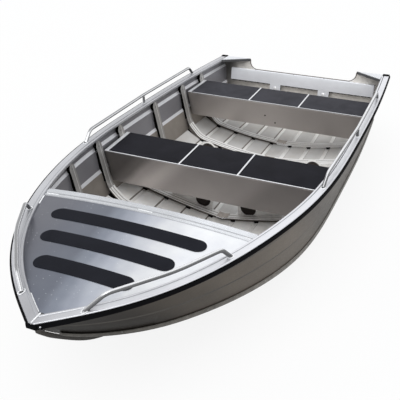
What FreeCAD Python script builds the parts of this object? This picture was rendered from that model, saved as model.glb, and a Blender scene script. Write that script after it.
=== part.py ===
import FreeCAD, Part

import math
import os

# Aluminium fishing dinghy, millimetres.  +X to the bow, +Y to port, +Z up.
# The keel bar's flat foot is Z = 0; X is measured from the transom's top while
# the pieces are made, and each piece is moved to the middle of the length last.
# Places along the hull, in the tables and in names that end in _X, are for a
# hull whose stem is at the last station's x: along() moves them to HULL_LENGTH.

V = FreeCAD.Vector
PARTS = "parts"

# ---------------------------------------------------------------- hull lines
# One row for each station.  half_beam and sheer: the gunwale's outer top edge.
# chine_y, chine_z: the outer corner between side and bottom.  keel_z: underside
# of the bottom plating on the centreline.  press: how deep the pressed steps
# and grooves are there, as a share of their full depth.  belly: how far the
# bottom hangs below a straight line from keel to chine, where it is fullest.
HULL_COLUMNS = ("x", "half_beam", "sheer", "chine_y", "chine_z", "keel_z", "press",
                "belly")
HULL_ROWS = (
    (0.0, 717.0, 551.0, 632.0, 172.0, 30.0, 1.0, 45.0),
    (740.0, 772.0, 585.0, 683.0, 186.0, 30.0, 1.0, 42.0),
    (1480.0, 796.0, 614.0, 703.0, 203.0, 30.0, 1.0, 33.0),
    (2220.0, 775.0, 643.0, 684.0, 243.0, 33.0, 1.0, 15.0),
    (2700.0, 677.0, 664.0, 588.0, 318.0, 74.0, 0.8, 5.0),
    (3100.0, 523.0, 674.0, 433.0, 398.0, 190.0, 0.5, 0.0),
    (3400.0, 325.0, 677.0, 222.0, 464.0, 366.0, 0.3, 0.0),
    (3560.0, 168.0, 678.0, 62.0, 530.0, 510.0, 0.1, 0.0),
    (3650.0, 62.0, 678.0, 16.0, 612.0, 604.0, 0.0, 0.0),
    (3690.0, 14.0, 678.0, 6.0, 656.0, 652.0, 0.0, 0.0),
)
HULL_LENGTH = 3700.0       # transom top to the bow cap's nose
BOW_CAP_LENGTH = 10.0      # stem to the bow cap's nose


def along(x):
    """A place along the hull as drawn, moved to the hull's real length."""
    return x * (HULL_LENGTH - BOW_CAP_LENGTH) / HULL_ROWS[-1][0]


TIP_X = along(HULL_ROWS[-1][0])


# ---------------------------------------------------------------- sheet sizes
WALL = 3.0                 # bottom and side plating
JOINT_GAP = 0.3            # clearance between separate pieces that nearly touch
BOTTOM_SHORT = 50.0        # bottom plating runs out on the stem this far from the tip
SIDE_SHORT = 40.0          # side plating ends inside the gunwale mitre

GROOVE_PLACES = (0.115, 0.35, 0.585, 0.815)   # share of the way keel to chine
GROOVE_HALF_TOP = 0.025
GROOVE_HALF_FOOT = 0.014
GROOVE_DEPTH = 9.0
BELLY_FULL = 0.66           # share keel to chine from which the belly is full

STEP_PLACES = (0.20, 0.57)  # share of the way sheer to chine
STEP_HALF = 0.028
STEP_OUT = 7.0              # strake's foot stands out this far before a step
STEP_IN = 2.0               # and the next strake starts this far in

# ---------------------------------------------------------------- gunwale
GUNWALE_WIDTH = 55.0
GUNWALE_SHEET = 4.0
GUNWALE_LEG = 34.0          # outer leg's depth
GUNWALE_LEG_SHEET = 5.0
GUNWALE_LIP = 20.0          # inner lip's depth
SIDE_INSET = 12.0           # side plating's top edge, in from the outer leg
RUB_THICK = 9.0
RUB_TOP = 4.0               # rub strip's top, below the sheer
RUB_FOOT = 30.0
MITRE_GAP = 0.15            # each gunwale stops this far from the centreline

# ---------------------------------------------------------------- keel, chine
KEEL_HALF = 30.0
KEEL_STOCK = 6.0            # cut off the keel bar's foot to make it flat
KEEL_START_X = 110.0
KEEL_END_X = 2000.0
STEM_HALF = 20.0
STEM_DEPTH = 14.0
STEM_SHORT = 30.0           # stem bar's top end, from the tip
CHINE_SHORT = 105.0         # chine bars stop this far from the tip
CHINE_UP = 0.17             # share of the lower strake that the chine bar covers
CHINE_UNDER = 0.18          # share of the outer bottom strip that it covers
CHINE_THICK = 8.0
CHINE_FOOT = 5.0
RUNNER_PLACES = (0.467, 0.70)
RUNNER_HALF = 0.018
RUNNER_DEPTH = 14.0
RUNNER_START_X = 160.0
RUNNER_END_X = 2900.0

# ---------------------------------------------------------------- ring frames
# front_x is each frame's forward face.
FRAME_COLUMNS = ("name", "front_x")
FRAME_ROWS = (
    ("frame_1", 2390.0),
    ("frame_2", 2030.0),
    ("frame_3", 1742.0),
    ("frame_4", 1258.0),
    ("frame_5", 828.0),
    ("frame_6", 512.0),
)
FRAME_LENGTH = 64.0
RIB_DEPTH = 22.0
RIB_TOP_DROP = 24.0         # rib top, below the sheer
FLOOR_RIB_HEIGHT = 18.0
KNEE_RISE = 58.0            # bend between floor rib and side rib
KNEE_RUN = 105.0

# ---------------------------------------------------------------- foredeck
DECK_AFT_X = 2735.0
DECK_END_HALF = 25.0        # half width where the deck ends, in the mitre
DECK_SHEET = 3.0
DECK_DROP = 12.0            # deck edge, below the sheer
DECK_CROWN = 0.048          # rise in the middle, as a share of the half width
DECK_FACETS = 10
EDGE_TUBE_RADIUS = 19.0
GRIP_THICK = 3.0
GRIP_LENGTH = 94.0          # fore and aft
GRIP_COUNT = 3
GRIP_FIRST = 0.168          # first strip's place, as a share of the deck's length
GRIP_PITCH = 0.220          # and from each strip to the next
GRIP_SHARE = 0.80           # strip's length, as a share of the deck's width there

# ---------------------------------------------------------------- thwarts
THWART_COLUMNS = ("name", "aft_x", "width", "top_z", "foot_z")
THWART_ROWS = (
    ("front_thwart", 1652.0, 308.0, 521.0, 308.0),
    ("aft_thwart", 457.0, 285.0, 484.0, 298.0),
)
THWART_SHEET = 3.0
PAD_THICK = 4.0
PAD_SPLIT_Y = 197.0         # separators stand here on both sides
TRIM_WIDTH = 11.0           # separators between the pads
TRIM_FRONT = 8.0            # strip along the front edge
TRIM_END = 26.0             # end strips, across the boat
TRIM_THICK = 5.5

# ---------------------------------------------------------------- rails
RAIL_RADIUS = 10.5
RAIL_HEIGHT = 62.0          # axis above the sheer
BOW_RAIL_INSET = 30.0
SIDE_RAIL_INSET = 22.0
RAIL_AFT_BEND = 50.0
RAIL_FRONT_BEND = 80.0
BOW_RAIL_COLUMNS = ("x", "height")
BOW_RAIL_ROWS = (
    (2946.0, 0.0),
    (2998.0, RAIL_HEIGHT),
    (3225.0, RAIL_HEIGHT),
    (3475.0, RAIL_HEIGHT),
    (3540.0, 0.0),
)
SIDE_RAIL_ROWS = (
    (585.0, 0.0),
    (640.0, RAIL_HEIGHT),
    (1340.0, RAIL_HEIGHT),
    (2045.0, RAIL_HEIGHT),
    (2112.0, 0.0),
)
SIDE_RAIL_POST_X = 1340.0
POST_RADIUS = 9.5

# ---------------------------------------------------------------- transom
TRANSOM_RAKE = 10.0         # degrees, foot forward
TRANSOM_SHEET = 4.0
NOTCH_HALF = 458.0
NOTCH_Z = 456.0
NOTCH_RADIUS = 66.0
BEAM_HALF = 618.0
BEAM_TOP_Z = 462.0
BEAM_HEIGHT = 100.0
BEAM_THICK = 34.0
TAB_Y = 210.0
TAB_WIDTH = 96.0
TAB_DROP = 48.0
TAB_THICK = 10.0
PAD_HALF = 170.0            # outer motor pad
PAD_HEIGHT = 210.0
PAD_DEEP = 10.0
KNEE_PLATE_REACH = 140.0    # corner plates, forward along the gunwale
KNEE_PLATE_LIP = 22.0
BUNG_Z = 78.0
BUNG_FLANGE_RADIUS = 21.0
BUNG_FLANGE = 4.0
BUNG_PLUG_RADIUS = 12.0
BUNG_PLUG = 14.0

# ---------------------------------------------------------------- small pieces
EYE_X = 3040.0              # where the bow eye meets the stem
EYE_RADIUS = 24.0
EYE_BORE = 12.0
EYE_THICK = 10.0
EYE_REACH = 26.0            # stem face to the bore's axis
CAP_LENGTH = 34.0           # stern corner caps, fore and aft
CAP_THICK = 3.0
BOW_CAP_HALF = 26.0
BEARER_THICK = 4.0
BEARER_HOLE_RADIUS = 55.0
# Upright bearer plates on the bottom plating, each with one round hole.
# The front ones stand just aft of their frame and carry the front thwart;
# the aft ones have a round top.
FRONT_BEARER_FRAME = "frame_3"
FRONT_BEARER_Y = (92.0, 400.0)
FRONT_BEARER_HOLE_Y = 165.0
FRONT_BEARER_HOLE_UP = 65.0   # hole's centre above the plating
AFT_BEARER_X = 1020.0
AFT_BEARER_Y = 415.0
AFT_BEARER_HALF = 68.0
AFT_BEARER_HOLE_UP = 62.0


# ================================================================ hull helpers
class Row:
    """One station of the hull, with the table's columns as attributes."""

    def __init__(self, values):
        for name, value in zip(HULL_COLUMNS, values):
            setattr(self, name, value)


STATIONS = [Row((along(values[0]),) + values[1:]) for values in HULL_ROWS]
STATION_X = [row.x for row in STATIONS]


def spline(points):
    """A smooth curve through one point a station, with X as its parameter."""
    curve = Part.BSplineCurve()
    curve.interpolate(Points=points, Parameters=STATION_X)
    return curve


COLUMN_CURVES = {
    name: spline([V(row.x, getattr(row, name), 0.0) for row in STATIONS])
    for name in HULL_COLUMNS[1:]
}


def station_at(x):
    """The hull's station at any x."""
    values = [x] + [COLUMN_CURVES[name].value(x).y for name in HULL_COLUMNS[1:]]
    return Row(values)


def spread(row):
    """How much wider a section across the boat is than one square to the gunwale."""
    step = 1.0
    ahead = COLUMN_CURVES["half_beam"].value(min(row.x + step, STATION_X[-1])).y
    behind = COLUMN_CURVES["half_beam"].value(max(row.x - step, STATION_X[0])).y
    span = min(row.x + step, STATION_X[-1]) - max(row.x - step, STATION_X[0])
    return math.sqrt(1.0 + ((ahead - behind) / span) ** 2)


def mixed(a, b, share):
    """The point a share of the way from a to b."""
    return (a[0] + (b[0] - a[0]) * share, a[1] + (b[1] - a[1]) * share)


def keel_point(row):
    return (0.0, row.keel_z)


def chine_point(row):
    return (row.chine_y, row.chine_z)


def bottom_lift(row):
    """The plating's thickness, measured straight up."""
    slope = (row.chine_z - row.keel_z) / row.chine_y
    return WALL * math.sqrt(1.0 + slope * slope)


def groove_edges():
    """The shares keel to chine at which the bottom changes its slope."""
    shares = [0.0]
    for place in GROOVE_PLACES:
        shares.extend((place - GROOVE_HALF_TOP, place + GROOVE_HALF_TOP))
    return shares + [1.0]


FLOOR_SHARES = groove_edges()


def belly_share(share):
    """The belly, straight between those shares and none at the keel and the chine."""
    def node(k):
        if k == len(FLOOR_SHARES) - 1:
            return 0.0
        return 1.0 - max(1.0 - FLOOR_SHARES[k] / BELLY_FULL, 0.0) ** 2

    if share >= 1.0:
        return 0.0
    k = max(k for k, start in enumerate(FLOOR_SHARES) if start <= share)
    start, stop = FLOOR_SHARES[k], FLOOR_SHARES[k + 1]
    return node(k) + (node(k + 1) - node(k)) * (share - start) / (stop - start)


def bottom_point(row, share):
    """The bottom plating's underside, a share of the way from keel to chine."""
    y, z = mixed(keel_point(row), chine_point(row), share)
    return (y, z - row.belly * belly_share(share))


def floor_line(row, lift):
    """Keel to chine along the bottom plating, straight across its grooves."""
    points = [bottom_point(row, share) for share in FLOOR_SHARES]
    return [(y, z + lift) for y, z in points]


def bottom_line(row, lift):
    """Keel to chine along the bottom plating, with its pressed grooves."""
    depth = GROOVE_DEPTH * row.press
    shape = ((-GROOVE_HALF_TOP, 0.0), (-GROOVE_HALF_FOOT, -depth),
             (GROOVE_HALF_FOOT, -depth), (GROOVE_HALF_TOP, 0.0))
    points = [bottom_point(row, 0.0)]
    for place in GROOVE_PLACES:
        for offset, drop in shape:
            y, z = bottom_point(row, place + offset)
            points.append((y, z + drop))
    points.append(bottom_point(row, 1.0))
    return [(y, z + lift) for y, z in points]


def side_top(row):
    return (row.half_beam - SIDE_INSET * spread(row), row.sheer - GUNWALE_SHEET)


def side_foot(row):
    return (row.chine_y, row.chine_z + bottom_lift(row))


def side_line(row, inward):
    """Sheer to chine along the side plating, with its two pressed steps."""
    top = side_top(row)
    foot = side_foot(row)
    points = [(top[0] - inward, top[1])]
    for place in STEP_PLACES:
        y, z = mixed(top, foot, place - STEP_HALF)
        points.append((y + STEP_OUT * row.press - inward, z))
        y, z = mixed(top, foot, place + STEP_HALF)
        points.append((y - STEP_IN * row.press - inward, z))
    slope = (row.chine_z - row.keel_z) / row.chine_y
    points.append((foot[0] - inward, foot[1] - inward * slope))
    return points


def side_wall(row):
    return WALL * spread(row)


def rib_line_y(row, z, inset):
    """The side's straight base line at height z, moved in by inset."""
    top = side_top(row)
    foot = side_foot(row)
    share = (top[1] - z) / (top[1] - foot[1])
    return mixed(top, foot, share)[0] - inset


RIB_INSET = WALL + STEP_IN + RIB_DEPTH      # ribs' inner faces, from that base line


# ================================================================ shape helpers
def closed_polygon(points):
    return Part.makePolygon(list(points) + [points[0]])


def solid_from(faces):
    shell = Part.makeShell(faces)
    shell.sewShape()
    if shell.ShapeType != "Shell":
        shell = shell.Shells[0]
    solid = Part.makeSolid(shell)
    if solid.Volume < 0:
        solid.reverse()
    return solid


def member(section, x0, x1, hand=1.0):
    """A long piece along the hull: section(row) gives its corners at a station."""
    corner_rows = [section(row) for row in STATIONS]
    curves = []
    for k in range(len(corner_rows[0])):
        points = [V(row.x, hand * corners[k][0], corners[k][1])
                  for row, corners in zip(STATIONS, corner_rows)]
        curves.append(spline(points))
    edges = [curve.toShape(x0, x1) for curve in curves]
    faces = []
    for k in range(len(edges)):
        faces.append(Part.makeRuledSurface(edges[k], edges[(k + 1) % len(edges)]))
    for x in (x0, x1):
        faces.append(Part.Face(closed_polygon([curve.value(x) for curve in curves])))
    return solid_from(faces)


def between(section, x0, x1):
    """A short piece across the boat: straight from its section at x0 to that at x1."""
    wires = []
    for x in (x0, x1):
        wires.append(closed_polygon([V(x, y, z) for y, z in section(station_at(x))]))
    return Part.makeLoft(wires, True, True)


def box(x0, x1, y0, y1, z0, z1):
    return Part.makeBox(x1 - x0, y1 - y0, z1 - z0, V(x0, y0, z0))


def mirrored(shape):
    return shape.mirror(V(0, 0, 0), V(0, 1, 0))


def slab(points, thickness):
    """A flat plate: a polygon thickened along thickness, a vector."""
    return Part.Face(closed_polygon(points)).extrude(thickness)


def bent_bar(points, radius, bend):
    """A round bar along straight runs joined by tangent arcs."""
    edges = []
    start = points[0]
    for k in range(1, len(points) - 1):
        corner = points[k]
        back = (points[k - 1] - corner).normalize()
        ahead = (points[k + 1] - corner).normalize()
        turn = math.pi - back.getAngle(ahead)
        if turn < 0.002:
            continue
        shorter = min((points[k - 1] - corner).Length, (points[k + 1] - corner).Length)
        reach = min(bend[k] * math.tan(turn / 2.0), 0.45 * shorter)
        arc_radius = reach / math.tan(turn / 2.0)
        enter = corner + back * reach
        leave = corner + ahead * reach
        inward = (back + ahead).normalize()
        middle = corner + inward * (arc_radius / math.cos(turn / 2.0) - arc_radius)
        edges.append(Part.LineSegment(start, enter).toShape())
        edges.append(Part.Arc(enter, middle, leave).toShape())
        start = leave
    edges.append(Part.LineSegment(start, points[-1]).toShape())
    path = Part.Wire(edges)
    ring = Part.Wire(Part.makeCircle(radius, points[0], points[1] - points[0]))
    return path.makePipeShell([ring], True, True)


NODES = []


def keep(name, *shapes):
    """Write one node: its solids moved so that the origin is mid length."""
    solids = []
    for shape in shapes:
        solids.extend(shape.Solids)
    node = Part.makeCompound(solids) if len(solids) > 1 else solids[0]
    node.translate(V(-HULL_LENGTH / 2.0, 0.0, 0.0))
    node.exportStep(os.path.join(PARTS, name + ".step"))
    NODES.append((name, len(solids), node.Volume, node.isValid()))


def keep_pair(name, shape):
    """Write a port piece and its starboard mirror as two nodes."""
    twin = mirrored(shape)
    keep(name + "_port", shape)
    keep(name + "_starboard", twin)


# ================================================================ transom frame
RAKE = math.radians(TRANSOM_RAKE)


def transom_top():
    return station_at(0.0).sheer


def transom_x(z):
    """The transom's outer face at height z."""
    return (transom_top() - z) * math.tan(RAKE)


def on_transom(shape):
    """Tip a piece drawn on an upright transom to the real rake."""
    shape.rotate(V(0, 0, transom_top()), V(0, 1, 0), -TRANSOM_RAKE)
    return shape


def ahead_of_transom(shape, clearance):
    """Keep what lies forward of the transom's face, moved forward by clearance."""
    far = 6000.0
    block = box(clearance, far, -far / 2, far / 2, -far / 2, far / 2)
    return shape.common(on_transom(block))


def transom_outline():
    """The transom's edge: inside the plating, in the raked plane, port half, from the top."""
    outline = []

    def add(points_of, index):
        z = NOTCH_Z
        for _ in range(12):
            row = station_at(max(transom_x(z), 0.0))
            y, z = points_of(row)[index]
        outline.append((y, z))

    inner_side = lambda row: side_line(row, side_wall(row) + JOINT_GAP)
    inner_bottom = lambda row: bottom_line(row, bottom_lift(row) + JOINT_GAP)
    for index in range(len(inner_side(STATIONS[0]))):
        add(inner_side, index)
    for index in reversed(range(len(inner_bottom(STATIONS[0])) - 1)):
        add(inner_bottom, index)
    return outline


# ================================================================ hull plating
os.makedirs(PARTS, exist_ok=True)


def bottom_section(row):
    return bottom_line(row, 0.0) + bottom_line(row, bottom_lift(row))[::-1]


def side_section(row):
    return side_line(row, 0.0) + side_line(row, side_wall(row))[::-1]


def chine_section(row):
    foot = side_foot(row)
    strake_top = side_line(row, 0.0)[-2]
    strip_start = bottom_line(row, 0.0)[-2]
    on_side = mixed(foot, strake_top, CHINE_UP)
    on_bottom = mixed(chine_point(row), strip_start, CHINE_UNDER)
    out = CHINE_THICK * spread(row)
    return [foot, on_side, (on_side[0] + out, on_side[1]),
            (row.chine_y + out, row.chine_z - CHINE_FOOT),
            (on_bottom[0], on_bottom[1] - CHINE_FOOT), on_bottom, chine_point(row)]


def gunwale_section(row):
    wide = spread(row)
    outer = row.half_beam
    inner = outer - GUNWALE_WIDTH * wide
    top = row.sheer
    under = top - GUNWALE_SHEET
    leg = outer - GUNWALE_LEG_SHEET * wide
    lip = inner + GUNWALE_SHEET * wide
    return [(inner, top - GUNWALE_LIP), (inner, top), (outer, top),
            (outer, top - GUNWALE_LEG), (leg, top - GUNWALE_LEG), (leg, under),
            (lip, under), (lip, top - GUNWALE_LIP)]


def rub_section(row):
    wide = spread(row)
    outer = row.half_beam
    chamfer = 0.3 * RUB_THICK
    return [(outer, row.sheer - RUB_FOOT),
            (outer + (RUB_THICK - chamfer) * wide, row.sheer - RUB_FOOT),
            (outer + RUB_THICK * wide, row.sheer - RUB_FOOT + chamfer),
            (outer + RUB_THICK * wide, row.sheer - RUB_TOP - chamfer),
            (outer + (RUB_THICK - chamfer) * wide, row.sheer - RUB_TOP),
            (outer, row.sheer - RUB_TOP)]


def port_half(shape, clearance):
    far = 6000.0
    return shape.common(box(-far, far, clearance, far, -far, far))


keep_pair("hull_bottom", ahead_of_transom(member(bottom_section, 0.0, TIP_X - BOTTOM_SHORT), 0.0))
keep_pair("hull_side", ahead_of_transom(member(side_section, 0.0, TIP_X - SIDE_SHORT), 0.0))
keep_pair("chine_bar", ahead_of_transom(member(chine_section, 0.0, TIP_X - CHINE_SHORT), 0.0))
keep_pair("gunwale", port_half(member(gunwale_section, 0.0, TIP_X), MITRE_GAP))
keep_pair("rub_strip", port_half(member(rub_section, 0.0, TIP_X), MITRE_GAP))


# ================================================================ keel and stem
def on_bottom_line(row, y):
    """The bottom plating's underside at y, where it has no groove."""
    return bottom_point(row, y / row.chine_y)[1]


def keel_section(row):
    """The keel bar with stock left on its foot, which is then cut flat at Z = 0."""
    edge = on_bottom_line(row, KEEL_HALF)
    return [(-KEEL_HALF, -KEEL_STOCK), (KEEL_HALF, -KEEL_STOCK), (KEEL_HALF, edge),
            (0.0, row.keel_z), (-KEEL_HALF, edge)]


def stem_section(row):
    climb = (station_at(min(row.x + 1.0, STATION_X[-1])).keel_z
             - station_at(max(row.x - 1.0, 0.0)).keel_z) / 2.0
    depth = STEM_DEPTH * math.sqrt(1.0 + climb * climb)
    half = min(STEM_HALF, row.chine_y)
    edge = on_bottom_line(row, half)
    low = min(row.keel_z - depth, edge - depth)
    return [(-half, low), (half, low), (half, edge), (0.0, row.keel_z), (-half, edge)]


keel_rough = member(keel_section, along(KEEL_START_X), along(KEEL_END_X))
keep("keel_bar", keel_rough.cut(box(0.0, HULL_LENGTH, -2.0 * KEEL_HALF, 2.0 * KEEL_HALF,
                                    -2.0 * KEEL_STOCK, 0.0)))
keep("stem_bar", member(stem_section, along(KEEL_END_X) + JOINT_GAP, TIP_X - STEM_SHORT))


def runner_section_at(place):
    def section(row):
        inner = bottom_point(row, place - RUNNER_HALF)
        outer = bottom_point(row, place + RUNNER_HALF)
        return [inner, (inner[0] + 4.0, inner[1] - RUNNER_DEPTH),
                (outer[0] - 4.0, outer[1] - RUNNER_DEPTH), outer]
    return section


runners = []
for place in RUNNER_PLACES:
    runner = member(runner_section_at(place), along(RUNNER_START_X), along(RUNNER_END_X))
    runners.extend((runner, mirrored(runner)))
keep("bottom_runners", *runners)


# ================================================================ ring frames
def frame_half(row):
    """One side of a ring frame: down the plating, then back along the inner edge."""
    wall = side_wall(row) + JOINT_GAP
    lift = bottom_lift(row) + JOINT_GAP
    rib_top = row.sheer - RIB_TOP_DROP
    line = side_line(row, wall)
    share = (line[0][1] - rib_top) / (line[0][1] - line[1][1])
    outer = [mixed(line[0], line[1], share)] + line[1:-1]
    outer.append((line[-1][0], line[-1][1] + JOINT_GAP))
    floor = floor_line(row, lift)
    knee_foot = bottom_point(row, 1.0 - KNEE_RUN / row.chine_y)
    knee_z = floor[-1][1] + KNEE_RISE
    inner = [(y, z + FLOOR_RIB_HEIGHT) for y, z in floor[:-2]]
    inner += [(knee_foot[0], knee_foot[1] + lift + FLOOR_RIB_HEIGHT),
              (rib_line_y(row, knee_z, RIB_INSET), knee_z),
              (rib_line_y(row, rib_top, RIB_INSET), rib_top)]
    return outer + floor[1:-1][::-1], floor[0], inner


def frame_section(row):
    outer, keel_in, inner = frame_half(row)
    starboard = [(-y, z) for y, z in outer]
    points = outer + [keel_in] + starboard[::-1]
    points += [(-y, z) for y, z in inner[::-1]][:-1]
    points += inner
    return points


for name, front_x in FRAME_ROWS:
    keep(name, between(frame_section, along(front_x) - FRAME_LENGTH, along(front_x)))


# ================================================================ foredeck
def deck_half(row):
    return row.half_beam - GUNWALE_WIDTH * spread(row) - JOINT_GAP


def deck_z(row, y):
    half = deck_half(row)
    return row.sheer - DECK_DROP + DECK_CROWN * half * (1.0 - (y / half) ** 2)


def deck_section(row):
    half = deck_half(row)
    top = []
    for k in range(DECK_FACETS + 1):
        y = half * (2.0 * k / DECK_FACETS - 1.0)
        rise = DECK_CROWN * half * (1.0 - (y / half) ** 2)
        top.append((y, row.sheer - DECK_DROP + rise))
    return top + [(y, z - DECK_SHEET) for y, z in top[::-1]]


def deck_end():
    """Where the deck has narrowed to its end's half width."""
    inner = spline([V(row.x, deck_half(row), 0.0) for row in STATIONS])
    low, high = deck_aft, TIP_X
    for _ in range(40):
        middle = (low + high) / 2.0
        if inner.value(middle).y > DECK_END_HALF:
            low = middle
        else:
            high = middle
    return low


deck_aft = along(DECK_AFT_X)
deck_fore = deck_end()
keep("foredeck", member(deck_section, deck_aft, deck_fore))


def crowned_arc(x, half, drop):
    """Three points of an arc across the deck at x, lowered by drop."""
    row = station_at(x)
    return [V(x, y, deck_z(row, y) - drop) for y in (-half, 0.0, half)]


tube_x = deck_aft - EDGE_TUBE_RADIUS - JOINT_GAP
tube_half = deck_half(station_at(tube_x)) - EDGE_TUBE_RADIUS * 0.3
tube_points = crowned_arc(tube_x, tube_half, EDGE_TUBE_RADIUS * 0.8)
tube_path = Part.Wire([Part.Arc(*tube_points).toShape()])
tube_start = Part.Wire(Part.makeCircle(EDGE_TUBE_RADIUS, tube_points[0],
                                       tube_points[1] - tube_points[0]))
keep("foredeck_edge_tube", tube_path.makePipeShell([tube_start], True, True))


def grip_section(row):
    """A skin over the whole deck, lying on its facets."""
    top = deck_section(row)[:DECK_FACETS + 1]
    lower = [(y, z + JOINT_GAP) for y, z in top]
    return lower + [(y, z + GRIP_THICK) for y, z in lower[::-1]]


def grip(aft_x):
    """A non-skid strip with round ends, cut from the skin over the deck."""
    radius = GRIP_LENGTH / 2.0
    middle_x = aft_x + radius
    half_width = GRIP_SHARE * deck_half(station_at(middle_x))
    sheer = station_at(middle_x).sheer
    tall = 400.0
    outline = Part.makeBox(GRIP_LENGTH, 2.0 * (half_width - radius), tall,
                           V(aft_x, -(half_width - radius), sheer - tall / 2.0))
    for side in (-1.0, 1.0):
        end = Part.makeCylinder(radius, tall, V(middle_x, side * (half_width - radius),
                                                sheer - tall / 2.0))
        outline = outline.fuse(end)
    skin = member(grip_section, aft_x, aft_x + GRIP_LENGTH)
    return skin.common(outline.removeSplitter())


keep("deck_grips", *[grip(mixed((deck_aft, 0.0), (deck_fore, 0.0),
                                GRIP_FIRST + k * GRIP_PITCH)[0])
                     for k in range(GRIP_COUNT)])


# ================================================================ thwarts
def end_y(row, z, extra=0.0):
    return rib_line_y(row, z, RIB_INSET + JOINT_GAP + extra)


def thwart(name, aft_x, width, top_z, foot_z):
    aft_x = along(aft_x)
    front_x = aft_x + width
    plate_z = top_z - PAD_THICK            # the seat plate's upper face
    sheet = THWART_SHEET

    def box_outer(row):
        return [(-end_y(row, foot_z), foot_z), (end_y(row, foot_z), foot_z),
                (end_y(row, plate_z), plate_z), (-end_y(row, plate_z), plate_z)]

    def box_inner(row):
        low = foot_z + sheet
        return [(-end_y(row, low) - 50.0, low), (end_y(row, low) + 50.0, low),
                (end_y(row, plate_z) + 50.0, plate_z + 50.0),
                (-end_y(row, plate_z) - 50.0, plate_z + 50.0)]

    def top_section(row):
        y = end_y(row, plate_z)
        return [(-y, plate_z - sheet), (y, plate_z - sheet), (y, plate_z), (-y, plate_z)]

    outer = between(box_outer, aft_x, front_x)
    hollow = between(box_inner, aft_x + sheet, front_x - sheet)
    trough = outer.cut(hollow)
    lid_space = box(aft_x - 1.0, front_x + 1.0, -2000.0, 2000.0,
                    plate_z - sheet - JOINT_GAP, plate_z + 100.0)
    keep(name + "_box", trough.cut(lid_space))
    keep(name + "_top", between(top_section, aft_x, front_x))

    pad_aft = aft_x
    pad_front = front_x - TRIM_FRONT
    split = TRIM_WIDTH / 2.0
    pads = [box(pad_aft, pad_front, -PAD_SPLIT_Y + split + JOINT_GAP,
                PAD_SPLIT_Y - split - JOINT_GAP, plate_z, top_z)]

    def side_pad(row):
        y = end_y(row, plate_z, TRIM_END + JOINT_GAP)
        start = PAD_SPLIT_Y + split + JOINT_GAP
        return [(start, plate_z), (y, plate_z), (y, top_z), (start, top_z)]

    port_pad = between(side_pad, pad_aft, pad_front)
    pads.extend((port_pad, mirrored(port_pad)))
    keep(name + "_pads", *pads)

    trim_z = plate_z + TRIM_THICK

    def end_trim(row):
        y = end_y(row, plate_z)
        return [(y - TRIM_END, plate_z), (y, plate_z), (y, trim_z), (y - TRIM_END, trim_z)]

    def cross_trim(row):
        y = end_y(row, plate_z, TRIM_END)
        return [(-y, plate_z), (y, plate_z), (y, trim_z), (-y, trim_z)]

    port_end = between(end_trim, aft_x, front_x)
    trim = port_end.fuse(mirrored(port_end))
    trim = trim.fuse(between(cross_trim, pad_front + JOINT_GAP, front_x))
    for side in (-1.0, 1.0):
        middle = side * PAD_SPLIT_Y
        bar = box(aft_x, front_x, middle - split, middle + split, plate_z, trim_z)
        trim = trim.fuse(bar)
    keep(name + "_trim", trim.removeSplitter())


for values in THWART_ROWS:
    thwart(*values)


def bearer_foot(x, inner_y, outer_y):
    """An upright plate's lower edge, standing on the plating."""
    row = station_at(x)
    lift = bottom_lift(row) + JOINT_GAP
    between_y = [y for y, _ in floor_line(row, lift) if inner_y < y < outer_y]
    return [V(x, y, on_bottom_line(row, y) + lift) for y in [inner_y] + between_y + [outer_y]]


def bearer_hole(x, y, up):
    """The cutter for the round hole, and the height of its centre."""
    centre_z = bearer_foot(x, y, y + 1.0)[0].z + up
    hole = Part.makeCylinder(BEARER_HOLE_RADIUS, 3.0 * BEARER_THICK,
                             V(x - BEARER_THICK, y, centre_z), V(1, 0, 0))
    return hole, centre_z


def front_bearer():
    """A straight-topped plate under the front thwart's box."""
    frame_aft = along(dict(FRAME_ROWS)[FRONT_BEARER_FRAME]) - FRAME_LENGTH
    x = frame_aft - JOINT_GAP - BEARER_THICK
    top = THWART_ROWS[0][4] - JOINT_GAP
    inner_y, outer_y = FRONT_BEARER_Y
    foot = bearer_foot(x, inner_y, outer_y)
    plate = slab(foot + [V(x, outer_y, top), V(x, inner_y, top)], V(BEARER_THICK, 0, 0))
    hole, _ = bearer_hole(x, FRONT_BEARER_HOLE_Y, FRONT_BEARER_HOLE_UP)
    return plate.cut(hole)


def aft_bearer():
    """An arch with its hole under the round top."""
    x = along(AFT_BEARER_X)
    y, half = AFT_BEARER_Y, AFT_BEARER_HALF
    hole, centre_z = bearer_hole(x, y, AFT_BEARER_HOLE_UP)
    foot = bearer_foot(x, y - half, y + half)
    plate = slab(foot + [V(x, y + half, centre_z), V(x, y - half, centre_z)],
                 V(BEARER_THICK, 0, 0))
    arch = Part.makeCylinder(half, BEARER_THICK, V(x, y, centre_z), V(1, 0, 0))
    arch = arch.common(box(x, x + BEARER_THICK, y - half, y + half, centre_z,
                           centre_z + half))
    return plate.fuse(arch).removeSplitter().cut(hole)


for name, plate in (("front_bearers", front_bearer()), ("aft_bearers", aft_bearer())):
    keep(name, plate, mirrored(plate))


# ================================================================ rails
def rail_points(rows, inset):
    points = []
    for x, height in rows:
        row = station_at(along(x))
        points.append(V(row.x, row.half_beam - inset, row.sheer + height + JOINT_GAP))
    return points


bow_bends = [0.0, RAIL_AFT_BEND, 900.0, RAIL_FRONT_BEND, 0.0]
keep_pair("bow_rail", bent_bar(rail_points(BOW_RAIL_ROWS, BOW_RAIL_INSET),
                               RAIL_RADIUS, bow_bends))

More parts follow.
